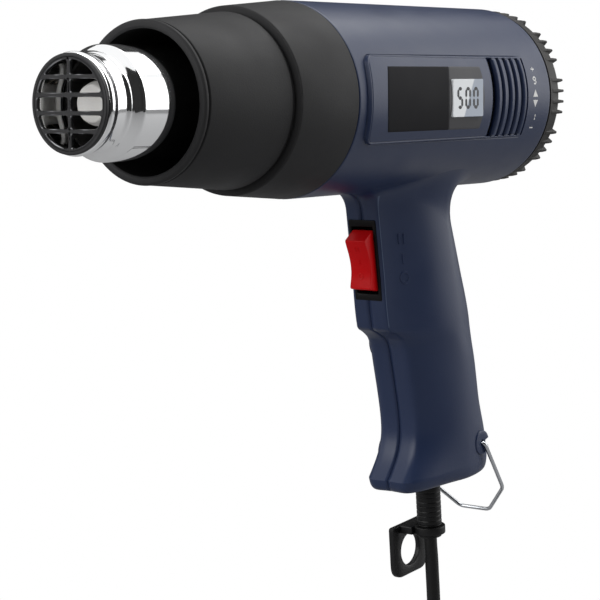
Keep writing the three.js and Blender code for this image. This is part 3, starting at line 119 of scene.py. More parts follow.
class HotAirSizes(bpy.types.PropertyGroup):
    """Sizes of the dressed surfaces."""

    barrel_radius: length("Barrel radius", "Outside radius of the barrel shells", 38.3)
    seam_half: length("Seam half width", "Half of the line between the two shells", 0.15)
    fin_width: length("Fin width", "Width of a dial fin at its top", 1.0)
    rib_pitch: length("Sleeve rib pitch", "Distance between the ribs of the cord sleeve", 2.1)
    bail_wire: length("Bail wire radius", "Radius of the hanging bail's wire", 0.85)
    digit_height: length("Digit height", "Height of the digits on the display", 8.8)


class HotAirColours(bpy.types.PropertyGroup):
    """Colours of the finishes."""

    case_navy: colour("Case", "Moulded shells of the barrel and grip", (29, 43, 74))
    shroud_black: colour("Shroud", "Heat sleeve, collar, dial and switch frame", (41, 41, 42))
    rocker_red: colour("Rocker", "Rocker of the switch", (196, 8, 14))
    plate_black: colour("Plate", "Bare display plate", (38, 38, 40))
    bezel_grey: colour("Bezel", "Border around the display", (76, 76, 78))
    # The display's face colour is pale with a painted reflection, which ends at a slanted line
    glass_grey: colour("Glass", "Face of the display", (220, 224, 227))
    digit_dark: colour("Digits", "Lit segments of the display", (30, 32, 38))
    mark_white: colour("Marks", "Printed marks beside the dial", (214, 214, 212))
    rubber_black: colour("Rubber", "Cord, cord sleeve, eye and plug", (20, 20, 21))
    chrome: colour("Chrome", "Nozzle tube", (250, 251, 252))
    steel: colour("Steel", "Wire of the hanging bail", (196, 199, 203))


def mm(name):
    """A size of the property group in millimetres."""
    return 1000.0 * getattr(bpy.context.scene.hot_air_sizes, name)


def paint(name):
    """A colour of the property group as an array."""
    return np.array(getattr(bpy.context.scene.hot_air_colours, name))


# Curves and surfaces

def smooth(share):
    """Smoothstep: three times the square less two times the cube, with the share held from 0 to 1."""
    share = np.clip(share, 0.0, 1.0)
    return share * share * (3.0 - 2.0 * share)


def unit(vectors):
    """Rows divided by their lengths."""
    return vectors / np.linalg.norm(vectors, axis=1, keepdims=True)


def full_turn(count):
    """Angles a steady step apart round a full turn."""
    return np.linspace(0.0, 2.0 * math.pi, count, endpoint=False)


def run_lengths(points):
    """Distance along a line of points, summed from its first point."""
    steps = np.linalg.norm(np.diff(points, axis=0), axis=1)
    return np.concatenate(([0.0], np.cumsum(steps)))


def hermite(t, span, values, slopes, i):
    """Cubic over span i: its end values and its slopes times the four Hermite polynomials of t."""
    return (
        (2 * t ** 3 - 3 * t ** 2 + 1) * values[i] + (t ** 3 - 2 * t ** 2 + t) * span * slopes[i]
        + (3 * t ** 2 - 2 * t ** 3) * values[i + 1] + (t ** 3 - t ** 2) * span * slopes[i + 1])


def eased(at, knots, values):
    """Hermite pieces through the knots, with slopes that are harmonic means of the neighbours' slopes."""
    knots = np.asarray(knots, float)
    values = np.asarray(values, float)
    step = np.diff(knots)
    slope = np.diff(values) / step
    product = slope[:-1] * slope[1:]
    total = np.where(product > 0, slope[:-1] + slope[1:], 1.0)
    inner = np.where(product > 0, 2.0 * product / total, 0.0)
    tangent = np.concatenate((slope[:1], inner, slope[-1:]))
    i = np.clip(np.searchsorted(knots, at) - 1, 0, len(step) - 1)
    return hermite((at - knots[i]) / step[i], step[i], values, tangent, i)


def bezier(t, *controls):
    """Control points summed, each times its Bernstein weight at t. A control may be an array of points."""
    degree = len(controls) - 1
    total = 0.0
    for k, control in enumerate(controls):
        weight = math.comb(degree, k) * t ** k * (1.0 - t) ** (degree - k)
        total = total + np.multiply.outer(weight, np.asarray(control, float))
    return total


def soften(corners, reach, steps=4, closed=True):
    """Each corner becomes a quadratic curve that starts and ends a reach away along its two edges."""
    corners = np.asarray(corners, float)
    before = np.roll(corners, 1, axis=0) - corners
    after = np.roll(corners, -1, axis=0) - corners
    long_before = np.linalg.norm(before, axis=1, keepdims=True)
    long_after = np.linalg.norm(after, axis=1, keepdims=True)
    reach = np.broadcast_to(np.asarray(reach, float), len(corners))[:, None]
    start = corners + before * np.minimum(reach / long_before, 0.48)
    end = corners + after * np.minimum(reach / long_after, 0.48)
    curve = np.swapaxes(bezier(np.linspace(0.0, 1.0, steps + 1), start, corners, end), 0, 1)
    if closed:
        return curve.reshape(-1, corners.shape[1])
    inside = curve[1:-1].reshape(-1, corners.shape[1])
    return np.vstack((corners[:1], inside, corners[-1:]))


def rounded_box(half_wide, half_tall, corner, steps=5):
    """Rectangle about the origin with rounded corners, as points in order round it."""
    corners = np.array(((1.0, -1.0), (1.0, 1.0), (-1.0, 1.0), (-1.0, -1.0)))
    return soften(corners * (half_wide, half_tall), corner, steps)


def sheet(points, wrap_rows=False, wrap_cols=False, left_out=None, finish=0, hollow=False):
    """Quads between the neighbours of a rows by columns grid. They face away from the points' middle, or
    towards it in a hollow."""
    rows, cols = points.shape[:2]
    index = np.arange(rows * cols).reshape(rows, cols)
    if wrap_rows:
        index = np.vstack((index, index[:1]))
    if wrap_cols:
        index = np.hstack((index, index[:, :1]))
    quads = np.stack((index[:-1, :-1], index[:-1, 1:], index[1:, 1:], index[1:, :-1]), axis=-1)
    quads = quads[~left_out] if left_out is not None else quads.reshape(-1, 4)
    flat = points.reshape(-1, 3)
    corners = flat[quads]
    normals = np.cross(corners[:, 2] - corners[:, 0], corners[:, 3] - corners[:, 1])
    reach = corners.mean(axis=1) - flat.mean(axis=0)
    if ((normals * reach).sum() < 0) != hollow:
        quads = quads[:, ::-1]
    return flat, quads, np.broadcast_to(finish, len(quads))


def round_sheet(points):
    """Sheet whose columns close round."""
    return sheet(points, wrap_cols=True)


def loop_sheet(points, finish=0):
    """Sheet whose rows and columns close round."""
    return sheet(points, wrap_rows=True, wrap_cols=True, finish=finish)


def turned(profile, sides):
    """Profile of (x, radius) pairs carried round the X axis: y is r times cosine, z is r times sine."""
    profile = np.asarray(profile, float)
    angle = full_turn(sides)
    x = np.broadcast_to(profile[:, :1], (len(profile), sides))
    y = np.outer(profile[:, 1], np.cos(angle))
    z = np.outer(profile[:, 1], np.sin(angle))
    return np.stack((x, y, z), axis=-1)


def tube(path, radius, reference, sides):
    """Circle carried along a path. The circle's first axis is the reference less its part along the path.
    A row of no radius closes each end."""
    path = np.asarray(path, float)
    along = unit(np.gradient(path, axis=0))
    side = unit(reference - along * (along @ reference)[:, None])
    other = np.cross(along, side)
    angle = full_turn(sides)
    out = side[:, None] * np.cos(angle)[:, None] + other[:, None] * np.sin(angle)[:, None]
    rings = path[:, None] + radius * out
    ends = [np.repeat(path[i][None, None], sides, axis=1) for i in (0, -1)]
    return np.concatenate((ends[0], rings, ends[1]))


def stack(outlines, levels, place):
    """Outlines of equally many points at levels along a third axis, closed by a middle point at each end.
    place turns (first, second, level) arrays into points."""
    outlines = [np.asarray(outline, float) for outline in outlines]
    rows = [np.broadcast_to(outlines[0].mean(axis=0), outlines[0].shape), *outlines,
            np.broadcast_to(outlines[-1].mean(axis=0), outlines[-1].shape)]
    heights = [levels[0], *levels, levels[-1]]
    grid = np.stack(rows)
    level = np.broadcast_to(np.asarray(heights, float)[:, None], grid.shape[:2])
    return place(grid[..., 0], grid[..., 1], level)


def drawn_in(outline, distance):
    """Outline moved in by a distance towards its middle, along the line to the middle."""
    outline = np.asarray(outline, float)
    out = outline - outline.mean(axis=0)
    size = np.linalg.norm(out, axis=1, keepdims=True)
    return outline - out * np.minimum(distance / size, 0.95)


def slab(outline, low, high, edge, place):
    """Plate with an outline and two levels, whose edges are rounded by two drawn-in rows on each face."""
    rows = [drawn_in(outline, share * edge) for share in (1.3, 1.0, 0.3, 0.0)]
    drops = edge * np.array((0.0, 0.0, 0.3, 1.0))
    return stack([*rows, *rows[::-1]], [*(low + drops), *(high - drops[::-1])], place)


def side_place(first, second, level):
    """Outline in X and Z with its level along Y."""
    return np.stack((first, level, second), axis=-1)


def upright(origin):
    """Place of level outlines: first along X, second along Y and level up, all from an origin."""
    return lambda first, second, level: np.stack((first, second, level), axis=-1) + origin


def make_piece(name, sheets, finishes, body, slot, nodes=(), wall=0.0, sharp=35.0):
    """Joins sheets into one mesh in the frame's metres, welds shared points and gives it to its body.
    An open piece gets a wall, which grows inwards."""
    counts = np.cumsum([0] + [len(points) for points, _, _ in sheets])
    points = (np.concatenate([points for points, _, _ in sheets]) - FRAME_ORIGIN) / 1000.0
    quads = np.concatenate([quads + start for (_, quads, _), start in zip(sheets, counts)])
    mesh = bpy.data.meshes.new(name)
    mesh.from_pydata(points.tolist(), [], quads.tolist())
    kinds = np.concatenate([kind for _, _, kind in sheets])
    mesh.polygons.foreach_set("material_index", kinds.astype(np.int32))
    welded = bmesh.new()
    welded.from_mesh(mesh)
    bmesh.ops.remove_doubles(welded, verts=welded.verts, dist=2e-6)
    welded.to_mesh(mesh)
    welded.free()
    mesh.polygons.foreach_set("use_smooth", np.ones(len(mesh.polygons), bool))
    mesh.set_sharp_from_angle(angle=math.radians(sharp))
    for finish in finishes:
        mesh.materials.append(finish)
    piece = bpy.data.objects.new(name, mesh)
    bpy.context.scene.collection.objects.link(piece)
    if wall:
        thick = piece.modifiers.new("Wall", "SOLIDIFY")
        thick.thickness = wall / 1000.0
        thick.offset = -1.0
    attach(piece, body)
    if nodes:
        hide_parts(*nodes)
    return piece


# Finishes

def add_node(tree, kind, inputs=None, **settings):
    """Adds a shader node; an input is either a value or a socket to link from."""
    made = tree.nodes.new(kind)
    for key, value in settings.items():
        setattr(made, key, value)
    for key, value in (inputs or {}).items():
        if isinstance(value, bpy.types.NodeSocket):
            tree.links.new(value, made.inputs[key])
        else:
            made.inputs[key].default_value = value
    return made


def mix_colours(tree, factor, first, second):
    """Colour between two colours or colour sockets."""
    return add_node(
        tree, "ShaderNodeMix", {0: factor, 6: first, 7: second}, data_type="RGBA").outputs[2]


def opaque(values):
    """Colour with full cover, held to what a socket takes."""
    return (*np.clip(values, 0.0, 1.0), 1.0)


def finish(name, base, rough, metal=0.0, patch=0.14, patch_size=45.0, smudge=0.06,
           grain=0.12, grain_size=1500.0, wear_and_highlight=0.25, wear_and_highlight_to=None, specular=0.5):
    """Finish from noise on Object coordinates: broad patches shift the colour and the roughness, a fine
    grain lifts the surface, and sharp convex edges lean to another colour, which stands for wear and also
    paints a highlight on the edges."""
    name = f"finish_{name}"
    if name in bpy.data.materials:
        return bpy.data.materials[name]
    base = np.asarray(base)
    material = bpy.data.materials.new(name)
    material.use_nodes = True
    tree = material.node_tree
    shader = tree.nodes["Principled BSDF"]
    place = add_node(tree, "ShaderNodeTexCoord").outputs["Object"]
    broad = add_node(tree, "ShaderNodeTexNoise", {"Vector": place, "Scale": patch_size, "Detail": 4.0})
    fine = add_node(tree, "ShaderNodeTexNoise", {"Vector": place, "Scale": grain_size, "Detail": 2.0})
    cloud = broad.outputs["Fac"]
    shifted = mix_colours(tree, cloud, opaque(base * (1.0 - patch)), opaque(base * (1.0 + patch)))
    edge = add_node(tree, "ShaderNodeMapRange", {
        "Value": add_node(tree, "ShaderNodeNewGeometry").outputs["Pointiness"],
        "From Min": 0.53, "From Max": 0.62, "To Min": 0.0, "To Max": wear_and_highlight})
    edge_wear_and_highlight = base * 1.6 + 0.02 if wear_and_highlight_to is None else np.asarray(wear_and_highlight_to)
    tinted = mix_colours(tree, edge.outputs["Result"], shifted, opaque(edge_wear_and_highlight))
    gloss = add_node(tree, "ShaderNodeMapRange", {
        "Value": cloud, "From Min": 0.3, "From Max": 0.7,
        "To Min": max(rough - smudge, 0.02), "To Max": rough + smudge})
    bump = add_node(tree, "ShaderNodeBump", {
        "Height": fine.outputs["Fac"], "Strength": grain, "Distance": 0.0003})
    tree.links.new(tinted, shader.inputs["Base Color"])
    tree.links.new(gloss.outputs["Result"], shader.inputs["Roughness"])
    tree.links.new(bump.outputs["Normal"], shader.inputs["Normal"])
    shader.inputs["Metallic"].default_value = metal
    shader.inputs["Specular IOR Level"].default_value = specular
    return material


def navy_plastic():
    """Fine-grained moulded shell: satin, with faint lighter edges from wear and a painted highlight."""
    return finish(
        "case_navy", paint("case_navy"), 0.38, patch=0.07, smudge=0.05, grain=0.10, wear_and_highlight=0.06, specular=0.38)


def shroud_plastic():
    """Matt black heat-proof moulding with a sandy grain."""
    return finish(
        "shroud_black", paint("shroud_black"), 0.58, patch=0.10, grain=0.16, grain_size=1900.0, specular=0.18)


def rubber():
    """Soft black jacket: dull, with broad smudges and a fine pebble."""
    return finish(
        "rubber_black", paint("rubber_black"), 0.42, patch=0.18, smudge=0.09, grain=0.2, specular=0.25)


def nozzle_chrome():
    """Polished tube with faint smudges, and rims that lean to near white as a painted highlight."""
    return finish(
        "nozzle_chrome", paint("chrome"), 0.07, metal=1.0, patch=0.04, smudge=0.035,
        grain=0.0, wear_and_highlight=0.3, wear_and_highlight_to=(0.95, 0.95, 0.95))


def heater_ceramic():
    """Unglazed white ceramic of the heater's core and its end."""
    return finish("heater_ceramic", tone(248, 246, 242), 0.6, patch=0.04, grain=0.15)


def plain_steel():
    """Bright drawn wire with faint smudges."""
    return finish(
        "bright_steel", paint("steel"), 0.12, metal=1.0, patch=0.1, smudge=0.06,
        grain=0.05, grain_size=2400.0)


# Stage

VIEW_TURN = math.radians(-52.957)
VIEW_LIFT = math.radians(6.108)
VIEW_ROLL = math.radians(-0.518)
VIEW_FROM = (-497.6, -473.2, 5.4)
VIEW_LENS = 120.0
SENSOR_WIDTH = 36.0
WORLD_SOFT = 0.52
WORLD_SEEN = 1.0
FLOOR_REACH = 12.0
FLOOR_DROP = 0.001
FLOOR_GREY = (0.34, 0.34, 0.345, 1.0)
WHITE = (1.0, 1.0, 1.0, 1.0)
SQUARE = ((-1.0, -1.0), (1.0, -1.0), (1.0, 1.0), (-1.0, 1.0))
# Name, place, aim, width, height and watts of each lamp, in metres
LAMPS = (
    ("top_lamp", (0.5, -0.25, 1.05), (0.0, 0.0, 0.1), 1.2, 0.7, 7.5),
    ("rear_lamp", (1.05, -0.82, 0.4), (0.0, 0.0, 0.0), 1.3, 1.1, 6.0),
    ("front_lamp", (-1.1, 0.25, 0.55), (-0.15, 0.0, 0.1), 1.0, 0.9, 7.5))
# Name, place, aim, width, height and shade of each card, in metres
CARDS = (
    ("viewer_card", (-1.25, -0.95, 0.75), (0.0, 0.0, 0.75), 2.2, 3.4, 0.02),
    ("side_card", (0.05, -1.5, 0.75), (0.05, 0.0, 0.75), 1.2, 3.4, 0.02),
    ("rear_card", (0.87, 0.88, 0.5), (0.0, 0.0, 0.1), 2.2, 1.3, 0.06))


def in_frame(point):
    """Barrel millimetres turned to the frame's metres."""
    return tuple((np.asarray(point, float) - FRAME_ORIGIN) / 1000.0)


def add_camera():
    """Camera whose axes are the level right and up turned by the roll, and the way back to the viewer."""
    right = np.array((math.cos(VIEW_TURN), math.sin(VIEW_TURN), 0.0))
    back = np.array((
        math.sin(VIEW_TURN) * math.cos(VIEW_LIFT), -math.cos(VIEW_TURN) * math.cos(VIEW_LIFT),
        math.sin(VIEW_LIFT)))
    up = np.cross(back, right)
    turned_right = math.cos(VIEW_ROLL) * right + math.sin(VIEW_ROLL) * up
    turned_up = math.cos(VIEW_ROLL) * up - math.sin(VIEW_ROLL) * right
    pose = np.eye(4)
    pose[:3, :3] = np.stack((turned_right, turned_up, back), axis=1)
    pose[:3, 3] = in_frame(VIEW_FROM)
    lens = bpy.data.cameras.new("view_camera")
    lens.lens = VIEW_LENS
    lens.sensor_width = SENSOR_WIDTH
    lens.clip_start = 0.01
    camera = bpy.data.objects.new("view_camera", lens)
    camera.matrix_world = Matrix(pose.tolist())
    bpy.context.scene.collection.objects.link(camera)
    bpy.context.scene.camera = camera


def add_lamp(name, place, aim, wide, tall, power):
    """Soft rectangular lamp that faces its aim."""
    light = bpy.data.lights.new(name, "AREA")
    light.shape = "RECTANGLE"
    light.size = wide
    light.size_y = tall
    light.energy = power
    lamp = bpy.data.objects.new(name, light)
    lamp.location = place
    lamp.rotation_euler = (Vector(aim) - Vector(place)).to_track_quat("-Z", "Y").to_euler()
    bpy.context.scene.collection.objects.link(lamp)


def larger(tree, first, second):
    """Socket with the larger of two sockets' values."""
    return add_node(tree, "ShaderNodeMath", {0: first, 1: second}, operation="MAXIMUM").outputs[0]


def seen_directly(tree):
    """Socket that is 1 on camera, glossy and transmission rays."""
    path = add_node(tree, "ShaderNodeLightPath").outputs
    mirrored = larger(tree, path["Is Glossy Ray"], path["Is Transmission Ray"])
    return larger(tree, path["Is Camera Ray"], mirrored)


def add_flat(name, points, material):
    """One four-cornered face as a piece of the stage."""
    mesh = bpy.data.meshes.new(name)
    mesh.from_pydata(points, [], [(0, 1, 2, 3)])
    mesh.materials.append(material)
    flat = bpy.data.objects.new(name, mesh)
    bpy.context.scene.collection.objects.link(flat)
    flat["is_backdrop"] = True
    return flat


def add_card(name, place, aim, wide, tall, shade):
    """Flat dark card that faces its aim. It shows in reflections alone."""
    turn = (Vector(aim) - Vector(place)).to_track_quat("Z", "Y").to_matrix()
    points = [Vector(place) + turn @ Vector((0.5 * wide * x, 0.5 * tall * y, 0.0)) for x, y in SQUARE]
    cloth = finish(f"{name}_cloth", (shade, shade, shade), 0.9, grain=0.2, wear_and_highlight=0.0)
    card = add_flat(name, points, cloth)
    card.visible_camera = False
    card.visible_diffuse = False


def add_floor(height):
    """Wide pale plane: white to the camera, a plain lit surface to everything else."""
    material = bpy.data.materials.new("pale_floor")
    material.use_nodes = True
    tree = material.node_tree
    shader = tree.nodes["Principled BSDF"]
    shader.inputs["Base Color"].default_value = FLOOR_GREY
    shader.inputs["Roughness"].default_value = 0.7
    white = add_node(tree, "ShaderNodeEmission", {"Color": WHITE, "Strength": 1.0})
    camera_ray = add_node(tree, "ShaderNodeLightPath").outputs["Is Camera Ray"]
    blend = add_node(tree, "ShaderNodeMixShader", {0: camera_ray, 1: shader.outputs[0], 2: white.outputs[0]})
    tree.links.new(blend.outputs[0], tree.nodes["Material Output"].inputs["Surface"])
    add_flat("floor", [(FLOOR_REACH * x, FLOOR_REACH * y, height) for x, y in SQUARE], material)


class HOTAIR_OT_stage(bpy.types.Operator):
    """Camera at the viewing angle, white surroundings, a pale floor, soft lamps and dark cards"""

    bl_idname = "hotair.stage"
    bl_label = "Stage"

    def execute(self, context):
        scene = context.scene
        scene.view_settings.view_transform = "Standard"
        add_camera()
        world = bpy.data.worlds.new("white_surroundings")
        world.use_nodes = True
        scene.world = world
        tree = world.node_tree
        tree.nodes.clear()
        soft = add_node(tree, "ShaderNodeBackground", {"Color": WHITE, "Strength": WORLD_SOFT})
        white = add_node(tree, "ShaderNodeBackground", {"Color": WHITE, "Strength": WORLD_SEEN})
        blend = add_node(tree, "ShaderNodeMixShader", {
            0: seen_directly(tree), 1: soft.outputs[0], 2: white.outputs[0]})
        add_node(tree, "ShaderNodeOutputWorld", {"Surface": blend.outputs[0]})
        add_floor(CAD_BOX[0][2] - FLOOR_DROP)
        for lamp in LAMPS:
            add_lamp(*lamp)
        for card in CARDS:
            add_card(*card)
        return {"FINISHED"}


# Cord and plug

FOOT_X = 220.3
FOOT_TILT = math.radians(4.5)
CORD_FOOT = np.array((FOOT_X, 0.0, -164.2))
CORD_DOWN = np.array((math.sin(FOOT_TILT), 0.0, -math.cos(FOOT_TILT)))
CORD_ACROSS = np.array((math.cos(FOOT_TILT), 0.0, math.sin(FOOT_TILT)))
CORD_EXIT_DROP = 27.0
LEAD_POINTS = (
    (223.4, -200.0), (224.1, -208.0), (224.7, -215.0), (225.1, -221.5), (225.0, -228.5), (223.7, -235.2),
    (220.9, -241.4), (216.8, -246.3))
COIL_MIDDLE = np.array((234.6, 0.0, -289.6))
COIL_OUTER = 45.2
COIL_PITCH = 6.6
COIL_LAYER = 6.7
COIL_START = math.radians(120.0)
COIL_STEPS = 24
COIL_COUNT = 148
COIL_RUN = 6.0
TAIL_LENGTH = 46.0
JOINT_GAP = 0.3
PLUG_LONG = 38.0
PLUG_HALF_WIDE = 13.0
PLUG_HALF_THICK = 7.0
PIN_PITCH = 18.6
PIN_PROFILE = ((0.0, 2.0), (17.4, 2.0), (19.0, 1.2))
TIE_HALF_LONG = 13.775
TIE_HALF_THICK = 6.75
TIE_SECTION = ((0.0, -4.0), (1.2, -4.0), (1.2, 4.0), (0.0, 4.0))
TIE_FROM_COIL = np.array((34.825, 3.35, 0.0))


def placed(origin, *runs):
    """Origin plus each array of distances times its axis."""
    points = origin
    for distance, axis in runs:
        points = points + np.multiply.outer(distance, axis)
    return points


def down_cord(first, second, level):
    """Local frame of the cord's exit: level runs down the cord, the others across it and along Y."""
    return placed(CORD_FOOT, (level, CORD_DOWN), (first, CORD_ACROSS), (second, SIDEWAYS))


def turned_on_cord(profile, sides):
    """Profile of (distance down, radius) pairs carried round the cord's axis."""
    ring = turned(profile, sides)
    return down_cord(ring[..., 1], ring[..., 2], ring[..., 0])


def coil_points():
    """Flat spiral in and out again: the radius loses a pitch each turn up to the middle and gains it after,
    and Y climbs one layer by a smoothstep over the half turn at the middle."""
    step = np.arange(COIL_COUNT + 1)
    middle = COIL_COUNT / 2
    angle = COIL_START + step * 2.0 * math.pi / COIL_STEPS
    radius = COIL_OUTER - COIL_PITCH * (middle - np.abs(step - middle)) / COIL_STEPS
    climb = COIL_LAYER * smooth((step - middle) * 2.0 / COIL_STEPS + 0.5)
    points = COIL_MIDDLE + np.stack((radius * np.cos(angle), climb, radius * np.sin(angle)), axis=1)
    lead_way = unit(points[:1] - points[1:2])
    first = points[:1] + lead_way * COIL_RUN
    return np.vstack((first + lead_way * (COIL_RUN + JOINT_GAP), first, points))


def flowing(points, spacing):
    """Hermite curve through points, on their summed distances, with slopes from neighbouring differences."""
    points = np.asarray(points, float)
    reach = run_lengths(points)
    slope = np.gradient(points, reach, axis=0)
    at = np.linspace(0.0, reach[-1], int(reach[-1] / spacing) + 1)
    i = np.clip(np.searchsorted(reach, at) - 1, 0, len(reach) - 2)
    span = (reach[i + 1] - reach[i])[:, None]
    return hermite((at - reach[i])[:, None] / span, span, points, slope, i)


def cord_route():
    """Lead from the sleeve, the coil, and the straight tail to the plug, as one smooth curve."""
    leave = CORD_FOOT + CORD_EXIT_DROP * CORD_DOWN
    lead = [(x, 0.0, z) for x, z in LEAD_POINTS]
    coil = coil_points()
    drops = (COIL_RUN, COIL_RUN + 0.5 * TAIL_LENGTH, COIL_RUN + TAIL_LENGTH + JOINT_GAP)
    below = coil[-1] + np.outer(drops, (0.0, 0.0, -1.0))
    return flowing(np.vstack((leave, leave + 4.0 * CORD_DOWN, lead, coil, below)), 1.5)


def superellipse(half_wide, half_thick, power=4.0, count=48):
    """Rounded rectangle from cosine and sine raised to two over the power, with their signs kept."""
    angle = full_turn(count)
    bend = 2.0 / power
    cosine = np.sign(np.cos(angle)) * np.abs(np.cos(angle)) ** bend
    sine = np.sign(np.sin(angle)) * np.abs(np.sin(angle)) ** bend
    return np.stack((half_wide * cosine, half_thick * sine), axis=1)


def plug_points(top):
    """Cuts that grow from the cord to the pin face, with finger grooves in between and a rounded face."""
    share = np.concatenate((np.linspace(0.0, 0.97, 60), (0.985, 0.995, 1.0)))
    knots = (0.0, 0.12, 0.3, 0.45, 0.6, 1.0)
    wide = eased(share, knots, (3.9, 4.3, 5.6, 11.0, PLUG_HALF_WIDE, PLUG_HALF_WIDE))
    thick = eased(share, knots, (3.9, 4.2, 5.0, 6.8, PLUG_HALF_THICK, 6.5))
    groove = 0.35 * (0.5 + 0.5 * np.cos(2.0 * math.pi * share / 0.06)) * (share < 0.28)
    face = np.interp(share, (0.97, 0.985, 0.995, 1.0), (0.0, 0.2, 0.6, 1.2))
    outlines = [superellipse(w, t) for w, t in zip(wide - groove - face, thick - groove - face)]
    return stack(outlines, -share * PLUG_LONG, upright(top))


def band_points(half_wide, half_thick, corner, section, place):
    """Loop: each section point (out, level) is a rounded rectangle grown by out and set at the level."""
    rows = np.stack([rounded_box(half_wide + out, half_thick + out, corner + out) for out, _ in section])
    level = np.broadcast_to(np.asarray(section)[:, 1:], rows.shape[:2])
    return place(rows[..., 0], rows[..., 1], level)


class HOTAIR_OT_cord(bpy.types.Operator):
    """Mains lead with its coil, tie, plug and pins"""

    bl_idname = "hotair.cord"
    bl_label = "Cord"

    def execute(self, context):
        jacket = rubber()
        brass = finish("pin_brass", tone(205, 170, 96), 0.24, metal=1.0, patch=0.08, wear_and_highlight=0.1)
        route = cord_route()
        cord = make_piece(
            "mains_lead", [round_sheet(tube(route, CORD_RADIUS, SIDEWAYS, 16))],
            [jacket], "body", "black_rubber", ("cord_lead", "cord_coil", "cord_tail"))
        plug_top = route[-1] - np.array((0.0, 0.0, JOINT_GAP))
        plug = make_piece(
            "plug_moulding", [round_sheet(plug_points(plug_top))], [jacket], "body", "black_rubber",
            ("plug_body",))
        profile = soften(PIN_PROFILE, 0.8, closed=False)
        profile = np.vstack(((PIN_PROFILE[0][0], 0.0), profile, (PIN_PROFILE[-1][0], 0.0)))
        for number, side in enumerate((-1.0, 1.0), start=1):
            start = plug_top + np.array((side * PIN_PITCH / 2, 0.0, -PLUG_LONG - JOINT_GAP))
            pin = turned(profile, 24)
            pin = start + np.stack((pin[..., 1], pin[..., 2], -pin[..., 0]), axis=-1)
            make_piece(
                f"contact_pin_{number}", [round_sheet(pin)], [brass], "body", "brass",
                (f"plug_pin_{number}",))
        tie_place = upright(COIL_MIDDLE + TIE_FROM_COIL)
        band = band_points(TIE_HALF_LONG, TIE_HALF_THICK, 3.0, soften(TIE_SECTION, 0.4), tie_place)
        tie = make_piece(
            "coil_tie", [loop_sheet(band)], [jacket], "body", "black_rubber", ("cord_tie",))
        in_frame(route[0])
        [in_frame(point) for point in route]
        return {"FINISHED"}


# Nozzle and shroud

GRILLE_LINES = (-20.0, -9.3, -3.1, 3.1, 9.3, 20.0)
GRILLE_BAR = 0.75
GRILLE_OPEN = 15.2
GRILLE_RIM = 16.2
GRILLE_FAR = 20.0
GRILLE_MIDDLE_LIMIT = 12.0
GRILLE_THICK = 1.4
GRILLE_ROUNDING = 9.0
# Profiles round the barrel's axis, as (x, radius) corners
NOZZLE_CORNERS = (
    (1.7, 17.0), (2.3, 17.95), (3.4, 17.95), (6.4, 17.2), (10.6, 17.2), (11.6, 17.9), (12.8, 18.0),
    (14.2, 19.3), (16.0, 20.5), (121.4, 20.5), (121.4, 24.0), (123.0, 24.0), (123.0, 19.5), (16.4, 19.5),
    (13.4, 16.4), (1.7, 15.4))
# Band on the bead's rear slope that takes a dark metal, a painted shade standing in for the groove's shadow
NOZZLE_SHADE_BAND = (4.4, 5.8)
NOZZLE_SIDES = 256
GRILLE_RING = ((0.0, 15.6), (0.0, 17.4), (GRILLE_THICK, 17.4), (GRILLE_THICK, 15.6))
TIP_CORNERS = ((25.5, 0.03), (25.5, 7.8), (14.0, 7.8), (11.0, 6.6), (10.4, 0.03))
TIP_BENDS = (0.01, 0.5, 0.5, 0.5, 0.01)
SLEEVE_CORNERS = (
    (37.8, 26.2), (37.2, 27.0), (37.2, 28.7), (37.9, 29.5), (39.2, 29.5), (39.5, 28.6), (40.0, 28.6),
    (40.3, 29.5), (82.5, 33.1), (82.9, 32.7), (82.9, 32.4), (84.7, 32.4), (84.7, 30.9), (91.0, 30.9),
    (91.0, 28.6), (82.9, 28.6))
COLLAR_CORNERS = (
    (85.0, 31.2), (85.0, 35.1), (85.4, 35.5), (116.9, 38.2), (116.9, 35.5), (120.4, 35.5), (120.4, 32.9),
    (123.0, 32.9), (123.0, 35.5), (125.0, 35.5), (125.0, 33.0), (121.0, 31.0), (121.0, 20.9), (117.5, 20.9),
    (117.5, 33.8), (91.3, 33.4), (91.3, 31.2))
SHROUD_SIDES = 144


def edge_distance(angle, middle, box, circle):
    """Inverse distances, along each angle, from a middle point to the sides of a box and to a circle."""
    way = np.stack((np.cos(angle), np.sin(angle)))
    inverse = [way[axis] / (side - middle[axis]) for axis in (0, 1) for side in box[axis]]
    along = middle @ way
    inverse.append(1.0 / (np.sqrt(along ** 2 - middle @ middle + circle ** 2) - along))
    return np.maximum(np.stack(inverse), 1e-6)


